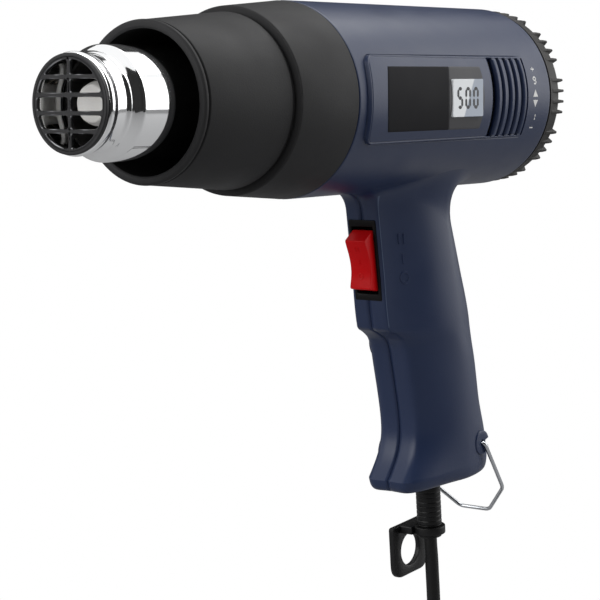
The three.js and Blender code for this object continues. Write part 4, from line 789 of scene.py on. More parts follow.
def grille_cell(side, low, high):
    """One opening of the grille with its share of the bars: the opening's edge is a power mean of the
    distances to its sides, which rounds its corners, and the outer edge is the least distance."""
    far = GRILLE_FAR * side
    outer_box = (np.array((0.0, far)), np.array((low, high)))
    bar = GRILLE_BAR * np.sign(0.5 * (low + high) - np.array((low, high)))
    inner_box = (np.array((side * GRILLE_BAR, far)), np.array((low, high)) + bar)
    height = np.clip(0.5 * (low + high), -GRILLE_MIDDLE_LIMIT, GRILLE_MIDDLE_LIMIT)
    middle = np.array((side * 0.5 * (GRILLE_BAR + math.sqrt(GRILLE_OPEN ** 2 - height ** 2)), height))
    rim = side * math.sqrt(GRILLE_RIM ** 2 - min(low ** 2, high ** 2))
    corners = [(y, z) for y in (0.0, rim) for z in (low, high)]
    turn = [math.atan2(z - middle[1], y - middle[0]) for y, z in corners]
    angle = np.unique(np.concatenate((np.linspace(-math.pi, math.pi, 97)[:-1], turn)))
    outer = 1.0 / edge_distance(angle, middle, outer_box, GRILLE_RIM).max(axis=0)
    inverse = edge_distance(angle, middle, inner_box, GRILLE_OPEN)
    inner = (inverse ** GRILLE_ROUNDING).sum(axis=0) ** (-1.0 / GRILLE_ROUNDING)
    reach = np.stack((inner, inner, inner + 0.3, outer, outer))
    depth = np.array((GRILLE_THICK, 0.3, 0.0, 0.0, GRILLE_THICK))
    x = np.broadcast_to(depth[:, None], reach.shape)
    points = np.stack((x, middle[0] + reach * np.cos(angle), middle[1] + reach * np.sin(angle)), axis=-1)
    return loop_sheet(points, np.repeat((0, 1, 0, 0, 0), len(angle)))


class HOTAIR_OT_nozzle(bpy.types.Operator):
    """Polished nozzle tube with its bead, flare and flange, and the grille in its mouth"""

    bl_idname = "hotair.nozzle"
    bl_label = "Nozzle"

    def execute(self, context):
        profile = soften(NOZZLE_CORNERS, 0.8, 8)
        middle = 0.5 * (profile + np.roll(profile, -1, axis=0))
        start, stop = NOZZLE_SHADE_BAND
        groove = (middle[:, 0] > start) & (middle[:, 0] < stop) & (middle[:, 1] > NOZZLE_CORNERS[0][1])
        # A dark band on the bead's rear slope paints the groove's shadow round the tube
        painted_groove_shade = finish("chrome_painted_shade", tone(58, 58, 60), 0.2, metal=1.0, patch=0.1, grain=0.0, wear_and_highlight=0.0)
        kinds = np.repeat(groove.astype(int), NOZZLE_SIDES)
        make_piece(
            "nozzle_shell", [loop_sheet(turned(profile, NOZZLE_SIDES), kinds)],
            [nozzle_chrome(), painted_groove_shade], "body", "nozzle_chrome", ("nozzle_tube",), sharp=50.0)
        dark = finish(
            "grille_steel", tone(30, 30, 32), 0.4, patch=0.2, smudge=0.1, grain=0.1, wear_and_highlight=0.0, specular=0.3)
        bright = finish("grille_edge", tone(170, 171, 174), 0.3, metal=1.0, patch=0.15, grain=0.05, wear_and_highlight=0.0)
        spans = list(zip(GRILLE_LINES, GRILLE_LINES[1:]))
        cells = [grille_cell(side, low, high) for side in (-1.0, 1.0) for low, high in spans]
        make_piece(
            "mouth_grille", [loop_sheet(turned(soften(GRILLE_RING, 0.35), 96)), *cells],
            [dark, bright], "body", "dark_steel", ("nozzle_grille",))
        tip = turned(soften(TIP_CORNERS, TIP_BENDS, 3), 64)
        make_piece("heater_tip", [loop_sheet(tip)], [heater_ceramic()], "body", "ceramic")
        return {"FINISHED"}


class HOTAIR_OT_shroud(bpy.types.Operator):
    """Heat sleeve with its lip groove, and the collar that carries it"""

    bl_idname = "hotair.shroud"
    bl_label = "Heat shroud"

    def execute(self, context):
        black = shroud_plastic()
        # The inner faces of the sleeve and collar are near black, a painted shade inside the mouth
        painted_inner_shade = finish("shroud_inside_painted_shade", tone(10, 10, 10), 0.7, patch=0.3, grain=0.2, wear_and_highlight=0.0, specular=0.1)
        for name, corners, node in (
                ("sleeve_moulding", SLEEVE_CORNERS, "heat_sleeve"),
                ("collar_moulding", COLLAR_CORNERS, "front_collar")):
            profile = soften(corners, 0.3, 3)
            # The last corner and the long face back to the start are the inside, which takes the painted
            # shade
            inside = np.arange(len(profile)) >= len(profile) - 4
            kinds = np.repeat(inside.astype(int), SHROUD_SIDES)
            make_piece(
                name, [loop_sheet(turned(profile, SHROUD_SIDES), kinds)],
                [black, painted_inner_shade], "body", "black_plastic", (node,))
        return {"FINISHED"}


# Case

# Depth below the barrel's axis, with the front and back edges of the grip at each depth
GRIP_DEPTH = (
    47.0, 70.0, 94.6, 95.9, 97.2, 98.6, 101.0, 104.4, 114.0, 126.0, 133.0, 139.0, 144.0, 148.0, 152.0,
    155.5, 158.9)
GRIP_FRONT = (
    171.4, 174.9, 178.6, 179.8, 182.9, 185.7, 189.0, 190.9, 193.5, 196.6, 198.1, 199.0, 199.0, 197.8, 195.5,
    192.8, 189.4)
GRIP_BACK = (
    220.0, 230.5, 240.2, 240.4, 240.6, 240.8, 241.2, 241.8, 244.2, 246.8, 248.2, 249.8, 251.2, 252.1, 252.8,
    253.4, 254.0)
GRIP_END = GRIP_DEPTH[-1]
# Half width, share of the change from panel to lower grip, and place of the widest point, each over depth
GRIP_WIDTHS = ((47.0, 70.0, 94.6, GRIP_END), (17.6, 18.4, 18.9, 18.9))
GRIP_CHANGE = (
    (47.0, 94.6, 95.9, 97.2, 98.6, 101.0, 104.4, GRIP_END), (0.0, 0.0, 0.08, 0.35, 0.62, 0.9, 1.0, 1.0))
GRIP_WIDEST = ((47.0, 94.6, 114.0, GRIP_END), (207.4, 214.6, 220.5, 226.0))
# Nose half width, nose depth, nose reach, corner reach, flank slope and flank reach of a cut
PANEL_CUT = np.array((8.2, 1.2, 7.6, 0.7, 17.0, 14.0))
GRIP_CUT = np.array((10.8, 1.9, 5.9, 4.5, 37.0, 7.5))
FILLET = 8.5
REAR_FILLET = 11.0
FILLET_END = 75.0
FOOT_DROP = 5.3
TIP_START = 100.0
TIP_LENGTH = 64.2
BARREL_FRONT = 117.2
PAD_CORNER = 3.5
PAD_LINE = 0.16
SEAM_DIP = 0.3
SLOT_LINE_DEPTH = 1.1
PANEL_FOOT = 94.0
TONGUE_HALF = 1.4
# Dark screen behind the air slots, there to paint the shade inside them: its bars and openings
GAUZE_BAR = 0.5
GAUZE_OPEN = 0.6
FLARE_SMOOTHING = 5.5
FLANK_DEPTH = 66.0
FLANK_X = 185.0
OPENING_TOP = 51.2
OPENING_FOOT = 81.4
OPENING_HALF = 6.2
OPENING_ROWS = 22
OPENING_COLS = 5
# Rows above the wall's top and columns of the nose that take the painted highlight along the panel's corner
CORNER_HIGHLIGHT_ROWS_UP = 7
CORNER_HIGHLIGHT_COLS = 4
# Share along the grip's half cut where the fillet widens and narrows again, and over what share
FILLET_WIDENS = (0.45, 0.27)
FILLET_NARROWS = (0.82, 0.18)
# Depths where the rows of the grip change their spacing
WALL_TOP = 49.6
LEDGE_TOP = 93.6
LEDGE_FOOT = 105.0
SEAM_NEAR = 0.9
SEAM_DRAW = 0.25
# Radius and Y of the corners of an ear's section, and half of its opening
EAR_SECTION = ((1.2, 11.5), (5.3, 11.5), (5.3, 19.1), (1.2, 19.1))
EAR_OPENING = math.radians(20.0)
# Place in X and Z, and floor in Y, of the screw wells on the right side
BARREL_WELLS = ((147.0, 26.0, 12.0), (147.0, -26.0, 12.0), (240.0, 26.0, 12.0), (240.0, -26.0, 12.0))
GRIP_WELLS = ((199.5, -104.0, 5.0), (207.0, -151.0, 5.0))
WELL_CUT = 4.1
# Distance from a well's axis and rise over the surface, from the rim's outer edge to the top of the bore
WELL_RIM = ((5.3, -0.2), (5.1, 0.08), (3.7, 0.08), (3.35, -0.1), (3.25, -0.5))
SCREW_HEAD = 2.65
CROSS_LONG = 1.8
CROSS_WIDE = 0.42


def tipped(x, z):
    """Height below the ledge, which tips from level to the slope of the foot by a smoothstep of depth."""
    share = smooth((-z - TIP_START) / TIP_LENGTH)
    return z + share * math.tan(FOOT_TILT) * (x - FOOT_X)


def nose_shares():
    """Shares along the nose curve, with one that lands on the side of the switch opening."""
    share = np.linspace(0.0, 1.0, 400)
    nose_half, _, nose_reach, corner_reach = PANEL_CUT[:4]
    lead = nose_half - corner_reach * math.sin(math.radians(16.0))
    half = bezier(share, 0.0, nose_reach, lead, nose_half)
    edge = np.interp(OPENING_HALF, half, share)
    within = np.linspace(0.0, edge, OPENING_COLS)[:-1]
    beyond = edge + (1.0 - edge) * np.linspace(0.0, 1.0, 13) ** 0.8
    return np.concatenate((within, beyond))


def grip_front(depth):
    """Front edge of the grip, averaged over a length below the ledge so that the flare has no kinks."""
    reach = FLARE_SMOOTHING * smooth((depth - 108.0) / 12.0)
    knots = np.append(GRIP_DEPTH, 2.0 * GRIP_DEPTH[-1] - GRIP_DEPTH[-3])
    front = np.append(GRIP_FRONT, 2.0 * GRIP_FRONT[-1] - GRIP_FRONT[-3])
    shifts = np.linspace(-1.0, 1.0, 15)
    return np.mean([eased(depth + reach * shift, knots, front) for shift in shifts], axis=0)


def grip_outline(depth):
    """Half cuts of the grip from nose to back: a cubic nose, a cubic flank that leaves along the same slope,
    and a quarter ellipse to the back, squarer at the foot. Rows follow depth, and each point is
    (x, half width)."""
    share = np.interp(depth, *GRIP_CHANGE)[:, None]
    cut = PANEL_CUT + (GRIP_CUT - PANEL_CUT) * share
    nose_half, nose_depth, nose_reach, corner_reach, slope, flank_reach = cut.T
    front = grip_front(depth)
    back = eased(depth, GRIP_DEPTH, GRIP_BACK)
    half = eased(depth, *GRIP_WIDTHS)
    widest = eased(depth, *GRIP_WIDEST) - front
    bend = 1.0 - 0.12 * smooth((depth - 126.0) / 28.0)
    lean = np.stack((np.cos(np.radians(slope)), np.sin(np.radians(slope))), axis=1)
    corner = np.stack((nose_depth, nose_half), axis=1)
    none = np.zeros_like(depth)
    side = np.stack((widest, half), axis=1)
    nose = bezier(
        nose_shares(), np.stack((none, none), axis=1), np.stack((none, nose_reach), axis=1),
        corner - corner_reach[:, None] * lean, corner)
    flank = bezier(
        np.linspace(0.0, 1.0, 28)[1:], corner, corner + flank_reach[:, None] * lean,
        side - np.stack((flank_reach, none), axis=1), side)
    turn = np.linspace(0.5 * math.pi, 0.0, 26)[1:]
    rear_x = widest + np.power.outer(np.cos(turn), bend) * (back - front - widest)
    rear = np.stack((rear_x, np.power.outer(np.sin(turn), bend) * half), axis=-1)
    outline = np.swapaxes(np.concatenate((nose, flank, rear)), 0, 1)
    outline[..., 0] += front[:, None]
    return outline


def grip_rows(depth):
    """Points of half cuts on the right side, at heights that tip towards the foot."""
    outline = grip_outline(depth)
    z = tipped(outline[..., 0], -depth[:, None])
    return np.stack((outline[..., 0], outline[..., 1], z), axis=-1)


def fillet_rows(radius):
    """Quadratic curve from the wall to the barrel through the point where the wall, carried up, meets it."""
    top, low = grip_rows(np.array(GRIP_DEPTH[:2]))
    climb = (top - low) / (top[:, 2:] - low[:, 2:])
    meet = top.copy()
    for _ in range(20):
        level = -np.sqrt(radius ** 2 - meet[:, 1] ** 2)
        meet = top + climb * (level - top[:, 2])[:, None]
    along = np.gradient(top, axis=0)
    out = np.stack((-along[:, 1], along[:, 0], 0.0 * along[:, 0]), axis=1)
    out[0] = (-1.0, 0.0, 0.0)
    out[-1] = (1.0, 0.0, 0.0)
    out = unit(out)
    normal = unit(meet * (0.0, 1.0, 1.0))
    across = unit(out - normal * (out * normal).sum(axis=1, keepdims=True))
    share = np.linspace(0.0, 1.0, len(top))
    widened, narrowed = (smooth((share - at) / span) for at, span in (FILLET_WIDENS, FILLET_NARROWS))
    wider = widened * (1.0 - 0.7 * narrowed)
    reach = (FILLET + REAR_FILLET * wider)[:, None]
    on_barrel = meet + across * reach
    under = on_barrel + 2.0 * across
    rise = unit(climb)

    def at_radius(points, wanted):
        size = np.hypot(points[:, 1], points[:, 2])[:, None]
        return np.hstack((points[:, :1], points[:, 1:] * wanted / size))

    curve = bezier(np.linspace(1.0, 0.0, 14), meet - rise * reach, meet, at_radius(on_barrel, radius - 0.02))
    return np.concatenate((at_radius(under, radius - 0.9)[None], curve))


def below_fillet(depth, walls, start):
    """Rows spaced anew above one level, so that each column starts where its fillet ends."""
    start = np.maximum(start, depth[0])
    share = (depth - depth[0])[:, None] / (FILLET_END - depth[0])
    spaced = np.where(share < 1.0, start + share * (FILLET_END - start), depth[:, None])
    for col in range(walls.shape[1]):
        for axis in range(3):
            walls[:, col, axis] = np.interp(spaced[:, col], depth, walls[:, col, axis])
    return walls


def on_flank(first, second, level):
    """Left flank of the grip: first runs back along it, second up, and level into it."""
    depth = FLANK_DEPTH - second
    front = grip_front(depth)
    cut = grip_outline(np.array((FLANK_DEPTH,)))[0]
    x = FLANK_X + first + front - cut[0, 0]
    y = np.interp(x - front, cut[:, 0] - cut[0, 0], cut[:, 1]) - level
    return np.stack((x, -y, -depth), axis=-1)


def foot_rows(crease):
    """The last cut drawn in towards its middle along a quadratic curve of inset and drop, then closed flat.
    The curve is tighter at the back."""
    middle = np.array((0.5 * (crease[0, 0] + crease[-1, 0]), 0.0))
    out = unit(crease[:, :2] - middle)
    rear = smooth((np.linspace(0.0, 1.0, len(crease)) - 0.4) / 0.25)
    rows = []
    for share in np.linspace(0.0, 1.0, 11)[1:]:
        inset = 2.0 * share * (1.0 - share) * (0.9 - 0.75 * rear) + share ** 2 * (4.2 - 2.4 * rear)
        drop = 2.0 * share * (1.0 - share) * 5.2 + share ** 2 * FOOT_DROP
        flat = crease[:, :2] - inset[:, None] * out
        rows.append(np.column_stack((flat, tipped(flat[:, 0], -GRIP_END) - drop)))
    last = np.broadcast_to((*middle, tipped(middle[0], -GRIP_END) - FOOT_DROP), crease.shape)
    return np.stack((*rows, last))


def grip_points(radius, seam):
    """Whole right half of the grip, from under the barrel down to the foot, held off the seam, with the cells
    of the switch opening and those on the panel's corner, which take a painted highlight."""
    depth = np.concatenate((
        np.linspace(WALL_TOP, OPENING_TOP, 3), np.linspace(OPENING_TOP, OPENING_FOOT, OPENING_ROWS)[1:],
        np.linspace(OPENING_FOOT, LEDGE_TOP, 9)[1:], np.linspace(LEDGE_TOP, LEDGE_FOOT, 34)[1:],
        np.linspace(LEDGE_FOOT, GRIP_END, 56)[1:]))
    top = fillet_rows(radius)
    walls = below_fillet(depth, grip_rows(depth), -top[-1, :, 2])
    points = np.concatenate((top, walls, foot_rows(walls[-1])))
    near = np.clip(1.0 - points[..., 1] / SEAM_NEAR, 0.0, 1.0)
    points[..., 1] = np.maximum(points[..., 1], seam)
    points[:, 0, 0] += SEAM_DRAW * near[:, 0]
    points[:, -1, 0] -= SEAM_DRAW * near[:, -1]
    opening = np.zeros((len(points) - 1, points.shape[1] - 1), bool)
    first = len(top) + np.searchsorted(depth, OPENING_TOP)
    opening[first:first + OPENING_ROWS - 1, :OPENING_COLS - 1] = True
    corner = len(nose_shares()) - 1
    last = len(top) + np.searchsorted(depth, PANEL_FOOT)
    # Cells along the panel's corner take the second finish, a lighter navy that paints a highlight on the
    # corner
    edge = np.zeros(opening.shape, int)
    edge[len(top) - CORNER_HIGHLIGHT_ROWS_UP:last, corner - CORNER_HIGHLIGHT_COLS:corner] = 1
    return points, opening, edge


def tongue_points(radius):
    """Strips just inside the seam, one under the top of the barrel and one down the back of the grip."""
    depth = np.linspace(41.0, 157.0, 40)
    back = eased(depth, GRIP_DEPTH, GRIP_BACK) - WALL
    along = np.linspace(126.0, 256.0, 8)
    across = np.array((-TONGUE_HALF, TONGUE_HALF))
    strips = []
    for x, z in ((back, tipped(back, -depth)), (along, np.full_like(along, radius - WALL))):
        strips.append(np.stack((
            np.broadcast_to(x[:, None], (len(x), 2)), np.broadcast_to(across, (len(x), 2)),
            np.broadcast_to(z[:, None], (len(x), 2))), axis=-1))
    return strips


def pad_bow(z):
    """How far back the pad's front edge runs at a height: the square of its share of the height."""
    return (np.clip(z, -PAD_HALF, PAD_HALF) / (PAD_HALF - 4.0)) ** 2


def pad_lift(x, z):
    """Rise of the display pad over the barrel: it stands proud at its bowed front, sinks away to the rear,
    eases over its edge, and has a fine groove on each side of the edge. The edge distance rounds the
    corners."""
    inside_front = x - PAD_FRONT - 1.0 - pad_bow(z)
    inside_side = PAD_HALF - np.abs(z)
    cut_off = PAD_CORNER - np.hypot(PAD_CORNER - inside_front, PAD_CORNER - inside_side)
    near_corner = (inside_front < PAD_CORNER) & (inside_side < PAD_CORNER)
    inside = np.where(near_corner, cut_off, np.minimum(inside_front, inside_side))
    proud = PAD_PROUD * np.clip((PAD_REAR - x) / (PAD_REAR - PAD_FRONT), 0.0, 1.0)
    groove = np.exp(-((inside + 0.2) / PAD_LINE) ** 2) + 0.6 * np.exp(-((inside - 1.0) / PAD_LINE) ** 2)
    return proud * smooth(inside / 0.4) - 0.3 * groove * smooth((PAD_REAR - x) / 8.0)


def barrel_points(radius, seam, side):
    """Half of the barrel: y is r times cosine and z is r times sine, with r from a profile along the barrel
    plus the pad's rise, less a dip at the seam. Cells of the air slots are left out."""
    seam_angle = math.asin(seam / radius)
    limit = 0.5 * math.pi - seam_angle
    slot_angle = math.asin(SLOT_HALF / (radius + 0.4))
    fine = np.radians(np.arange(22.2, 29.0, 0.15))
    angles = np.concatenate((
        (0.0, slot_angle, limit, limit - 0.006, limit - 0.012, limit - 0.02, limit - 0.03),
        np.radians(np.arange(1.5, 22.0, 1.5)), fine[np.abs(fine - slot_angle) > 0.002],
        np.radians(np.arange(30.0, 88.0, 1.6))))
    angles = np.unique(np.concatenate((-angles, angles)))
    edges = np.array(SLOTS).ravel()
    lines = np.concatenate((
        np.arange(118.0, 121.0, 1.0), np.arange(121.4, 124.8, 0.1), np.arange(125.0, 131.0, 0.5),
        np.arange(132.0, 256.0, 1.5), (257.0, 258.0)))
    kept = np.concatenate((edges, GROOVE_LINES))
    clear = np.abs(lines[:, None] - kept).min(axis=1) > 0.6
    middle = np.unique(np.concatenate((lines[clear], kept)))
    x = np.concatenate((
        (BARREL_FRONT, BARREL_FRONT, 117.35, 117.7), middle, (258.5, 259.0, 259.35, 259.4, 259.4, 259.4)))
    base = np.concatenate((
        (-1.2, -0.5, -0.15, 0.0), np.zeros(len(middle)), (-0.06, -0.3, -0.75, -1.1, -2.5, -5.3)))
    grid_x, angle = np.meshgrid(x, angles, indexing="ij")
    z = radius * np.sin(angle)
    grid_x = grid_x + pad_bow(z) * smooth((grid_x - 117.7) / 3.5) * smooth((150.0 - grid_x) / 20.0)
    dip = SEAM_DIP * (1.0 - smooth((limit - np.abs(angle)) / 0.02))
    on_line = (grid_x > GROOVE_LINES[0]) & (grid_x < GROOVE_LINES[-1]) & (np.abs(angle) < slot_angle - 0.001)
    r = radius + base[:, None] + pad_lift(grid_x, z) - dip - SLOT_LINE_DEPTH * on_line
    points = np.stack((grid_x, side * r * np.cos(angle), r * np.sin(angle)), axis=-1)
    points[..., 1] = side * np.maximum(np.abs(points[..., 1]), seam)
    middle_x = 0.5 * (grid_x[1:, 1:] + grid_x[:-1, 1:])
    middle_angle = 0.5 * (angle[1:, 1:] + angle[1:, :-1])
    slots = np.zeros(middle_x.shape, bool)
    for start, end in SLOTS:
        slots |= (middle_x > start) & (middle_x < end) & (np.abs(middle_angle) < slot_angle)
    return points, slots


def barrel_side(_, z):
    """Half width of the barrel at heights seen from the side, the same all along it."""
    return np.sqrt(mm("barrel_radius") ** 2 - z ** 2)


def grip_side(x, z):
    """Half width of the grip at points seen from the side, read off the cut at each point's depth."""
    depth = tipped(x, z) - 2.0 * z
    return np.array([np.interp(at, cut[:, 0], cut[:, 1]) for at, cut in zip(x, grip_outline(depth))])


def well_cells(points):
    """Cells of a grid whose middle lies near the axis of a screw well."""
    middle = 0.25 * (points[1:, 1:] + points[1:, :-1] + points[:-1, 1:] + points[:-1, :-1])
    away = [np.hypot(middle[..., 0] - x, middle[..., 2] - z) for x, z, _ in BARREL_WELLS + GRIP_WELLS]
    return np.min(away, axis=0) < WELL_CUT


def well_points(x, z, floor, half_width):
    """Rim that follows the surface round a screw's axis, and a straight bore down to the floor."""
    angle = full_turn(40)
    rows = []
    for reach, rise in WELL_RIM:
        at_x = x + reach * np.cos(angle)
        at_z = z + reach * np.sin(angle)
        rows.append(np.stack((at_x, half_width(at_x, at_z) + rise, at_z), axis=1))
    rows.append(np.column_stack((rows[-1][:, 0], np.full(len(angle), floor), rows[-1][:, 2])))
    return np.stack(rows)


def cross_points(x, z, floor):
    """Thin dark cross standing on a screw's head in place of its recess, a painted shade of the recess: a
    plus-shaped outline between two levels.
    """
    arm = np.array(((CROSS_LONG, -CROSS_WIDE), (CROSS_LONG, CROSS_WIDE), (CROSS_WIDE, CROSS_WIDE)))
    turn = np.array(((0.0, 1.0), (-1.0, 0.0)))
    outline = np.concatenate([arm @ np.linalg.matrix_power(turn, quarter) for quarter in range(4)])
    top = floor + SCREW_HEAD
    return slab(outline + (x, z), top - 0.3, top + 0.06, 0.04, side_place)


def gauze_points(radius, side):
    """Dark screen behind the air slots that paints the shade seen through them: a grid on a cylinder, with
    narrow and wide cells in turn. The cells that are wide both ways are left out."""
    inner = radius - WALL - 0.6
    long = SLOTS[-1][1] - SLOTS[0][0] + 4.0
    tall = 2.0 * SLOT_HALF + 4.0
    lines = []
    for length in (long, tall):
        count = int(length / (GAUZE_BAR + GAUZE_OPEN))
        cells = np.append(np.tile((GAUZE_BAR, GAUZE_OPEN), count), GAUZE_BAR)
        lines.append(np.concatenate(((0.0,), np.cumsum(cells))))
    x, arc = np.meshgrid(SLOTS[0][0] - 2.0 + lines[0], (lines[1] - 0.5 * lines[1][-1]) / inner, indexing="ij")
    points = np.stack((x, side * inner * np.cos(arc), inner * np.sin(arc)), axis=-1)
    wide = [np.arange(len(line) - 1) % 2 == 1 for line in lines]
    return points, np.logical_and.outer(*wide)


def ear_points(side):
    """C-shaped boss: a rounded section carried round the bail's axis, open to the back."""
    section = soften(EAR_SECTION, 0.5, 3)
    angle = np.linspace(EAR_OPENING, 2.0 * math.pi - EAR_OPENING, 60)
    out = np.broadcast_to(side * section[:, 1], (len(angle), len(section)))
    grid = np.stack((
        BAIL_PIVOT[0] + np.outer(np.cos(angle), section[:, 0]), out,
        BAIL_PIVOT[1] + np.outer(np.sin(angle), section[:, 0])), axis=-1)
    ends = [np.broadcast_to(grid[i].mean(axis=0), grid[i].shape)[None] for i in (0, -1)]
    return np.concatenate((ends[0], grid, ends[1]))


class HOTAIR_OT_case(bpy.types.Operator):
    """The two moulded shells with their pad, air slots, the dark gauze that paints their shade, screw wells
    and marks, and the bail's ears
    """

    bl_idname = "hotair.case"
    bl_label = "Case shells"

    def execute(self, context):
        navy = navy_plastic()
        # The second finish is a lighter navy, a painted highlight along the panel's corner
        edge_wear_and_highlight = finish("case_corner_painted_highlight", tone(72, 85, 110), 0.4, patch=0.1, smudge=0.05, grain=0.1, specular=0.34)
        # Near-black finish of the gauze and the screw crosses, a painted shade in the slots and the cross
        # recesses
        steel = finish("painted_shade_black", tone(24, 24, 25), 0.6, patch=0.1, grain=0.05, wear_and_highlight=0.0, specular=0.1)
        radius = mm("barrel_radius")
        seam = mm("seam_half")
        for side, name, node in ((-1.0, "left_shell", "left_housing"), (1.0, "right_shell", "right_housing")):
            barrel, slots = barrel_points(radius, seam, side)
            grip, opening, corner = grip_points(radius, seam)
            grip = grip * (1.0, side, 1.0)
            if side < 0:
                extra = [sheet(strip) for strip in tongue_points(radius)]
            else:
                slots |= well_cells(barrel)
                opening |= well_cells(grip)
                wells = [well_points(*well, barrel_side) for well in BARREL_WELLS]
                wells += [well_points(*well, grip_side) for well in GRIP_WELLS]
                extra = [sheet(well, wrap_cols=True, hollow=True) for well in wells]
            shell = [sheet(barrel, left_out=slots), sheet(grip, left_out=opening, finish=corner[~opening])]
            make_piece(
                name, [*shell, *extra], [navy, edge_wear_and_highlight], "body", "navy_plastic", (node,), wall=WALL - 0.4)
            make_piece(f"{name}_ear", [round_sheet(ear_points(side))], [navy], "body", "navy_plastic")
            gauze, holes = gauze_points(radius, side)
            make_piece(
                f"{name}_gauze", [sheet(gauze, left_out=holes)], [steel], "body", "dark_steel", wall=0.3)
        # Dark crosses on the screw heads paint the shade of their recesses
        crosses = [round_sheet(cross_points(*well)) for well in BARREL_WELLS + GRIP_WELLS]
        make_piece("screw_crosses", crosses, [steel], "body", "dark_steel")
        make_piece(
            "flank_marks", raised_marks(on_flank, FLANK_MARKS, 2.0, 0.3), [navy], "body", "navy_plastic")
        return {"FINISHED"}


# Display

DIGIT_SEGMENTS = {"0": "abcdef", "1": "bc", "5": "acdfg", "9": "abcdfg"}
DISPLAY_READING = "500"
DIGIT_PITCH = 5.9
DIGIT_WIDE = 4.3
DIGIT_STROKE = 1.4
# Slanted line where the painted reflection on the display's face ends, its softness, and the tint past it
GLARE_X = 191.6
GLARE_SLOPE = 0.5
GLARE_SOFT = 0.0004
PAST_GLARE_TINT = (0.38, 0.43, 0.52)
PLATE_LIFT = 0.2
BEZEL_LAP = 0.4
BEZEL_BOW = -0.9


def pad_radius(x):
    """Radius of the pad's cone at a place along the barrel."""
    return mm("barrel_radius") + PAD_PROUD * (PAD_REAR - x) / (PAD_REAR - PAD_FRONT)


def plate_points(front, front_bow, rear, rear_bow, lift):
    """Sheet between two bowed edges, x is the edge plus the bow times the square of the height's share.
    It lies a lift above the pad's cone and drops at its rim."""
    share = np.concatenate(((0.0, 0.004, 0.012), np.linspace(0.03, 0.97, 40), (0.988, 0.996, 1.0)))
    tall = np.concatenate(((-1.0, -0.988, -0.97), np.linspace(-0.93, 0.93, 31), (0.97, 0.988, 1.0)))
    s, t = np.meshgrid(share, tall, indexing="ij")
    start = front + front_bow * t ** 2
    x = start + s * (rear + rear_bow * t ** 2 - start)
    z = PLATE_HALF * t
    rim = np.minimum(np.minimum(s, 1.0 - s) * (rear - front), (1.0 - np.abs(t)) * PLATE_HALF)
    r = pad_radius(x) + lift - 0.22 * (1.0 - smooth(rim / 0.3))
    return np.stack((x, -np.sqrt(r ** 2 - z ** 2), z), axis=-1)


def segment_outlines(digit, wide, tall, stroke):
    """Pointed bars of a seven-segment digit about its middle, as (across, up) outlines."""
    half = 0.5 * stroke
    gap = 0.08 * stroke
    x = 0.5 * wide - half
    z = 0.5 * tall - half
    ends = {
        "a": ((-x, z), (x, z)), "g": ((-x, 0.0), (x, 0.0)), "d": ((-x, -z), (x, -z)),
        "f": ((-x, 0.0), (-x, z)), "b": ((x, 0.0), (x, z)),
        "e": ((-x, -z), (-x, 0.0)), "c": ((x, -z), (x, 0.0))}
    outlines = []
    for name in DIGIT_SEGMENTS[digit]:
        start, end = np.array(ends[name])
        along = (end - start) / np.linalg.norm(end - start)
        across = half * np.array((-along[1], along[0]))
        start, end = start + gap * along, end - gap * along
        outlines.append(np.array((
            start, start + half * along + across, end - half * along + across, end,
            end - half * along - across, start + half * along - across)))
    return outlines


def display_glass():
    """Display face with a painted reflection: pale up to a slanted line, where the painted reflection ends,
    and darker and bluer past it.
    """
    base = paint("glass_grey")
    material = finish("display_glass", base, 0.16, patch=0.03, smudge=0.03, grain=0.01, wear_and_highlight=0.0)
    tree = material.node_tree
    shader = tree.nodes["Principled BSDF"]
    place = add_node(tree, "ShaderNodeTexCoord").outputs["Object"]
    slant = add_node(
        tree, "ShaderNodeVectorMath", {0: place, 1: (1.0, 0.0, -GLARE_SLOPE)}, operation="DOT_PRODUCT")
    middle = (GLARE_X - FRAME_ORIGIN[0] + GLARE_SLOPE * FRAME_ORIGIN[2]) / 1000.0
    step = add_node(tree, "ShaderNodeMapRange", {
        "Value": slant.outputs["Value"], "From Min": middle - GLARE_SOFT, "From Max": middle + GLARE_SOFT,
        "To Min": 0.0, "To Max": 1.0})
    soft = shader.inputs["Base Color"].links[0].from_socket
    glare_painted_colour = mix_colours(tree, step.outputs["Result"], soft, opaque(base * PAST_GLARE_TINT))
    tree.links.new(glare_painted_colour, shader.inputs["Base Color"])
    return material


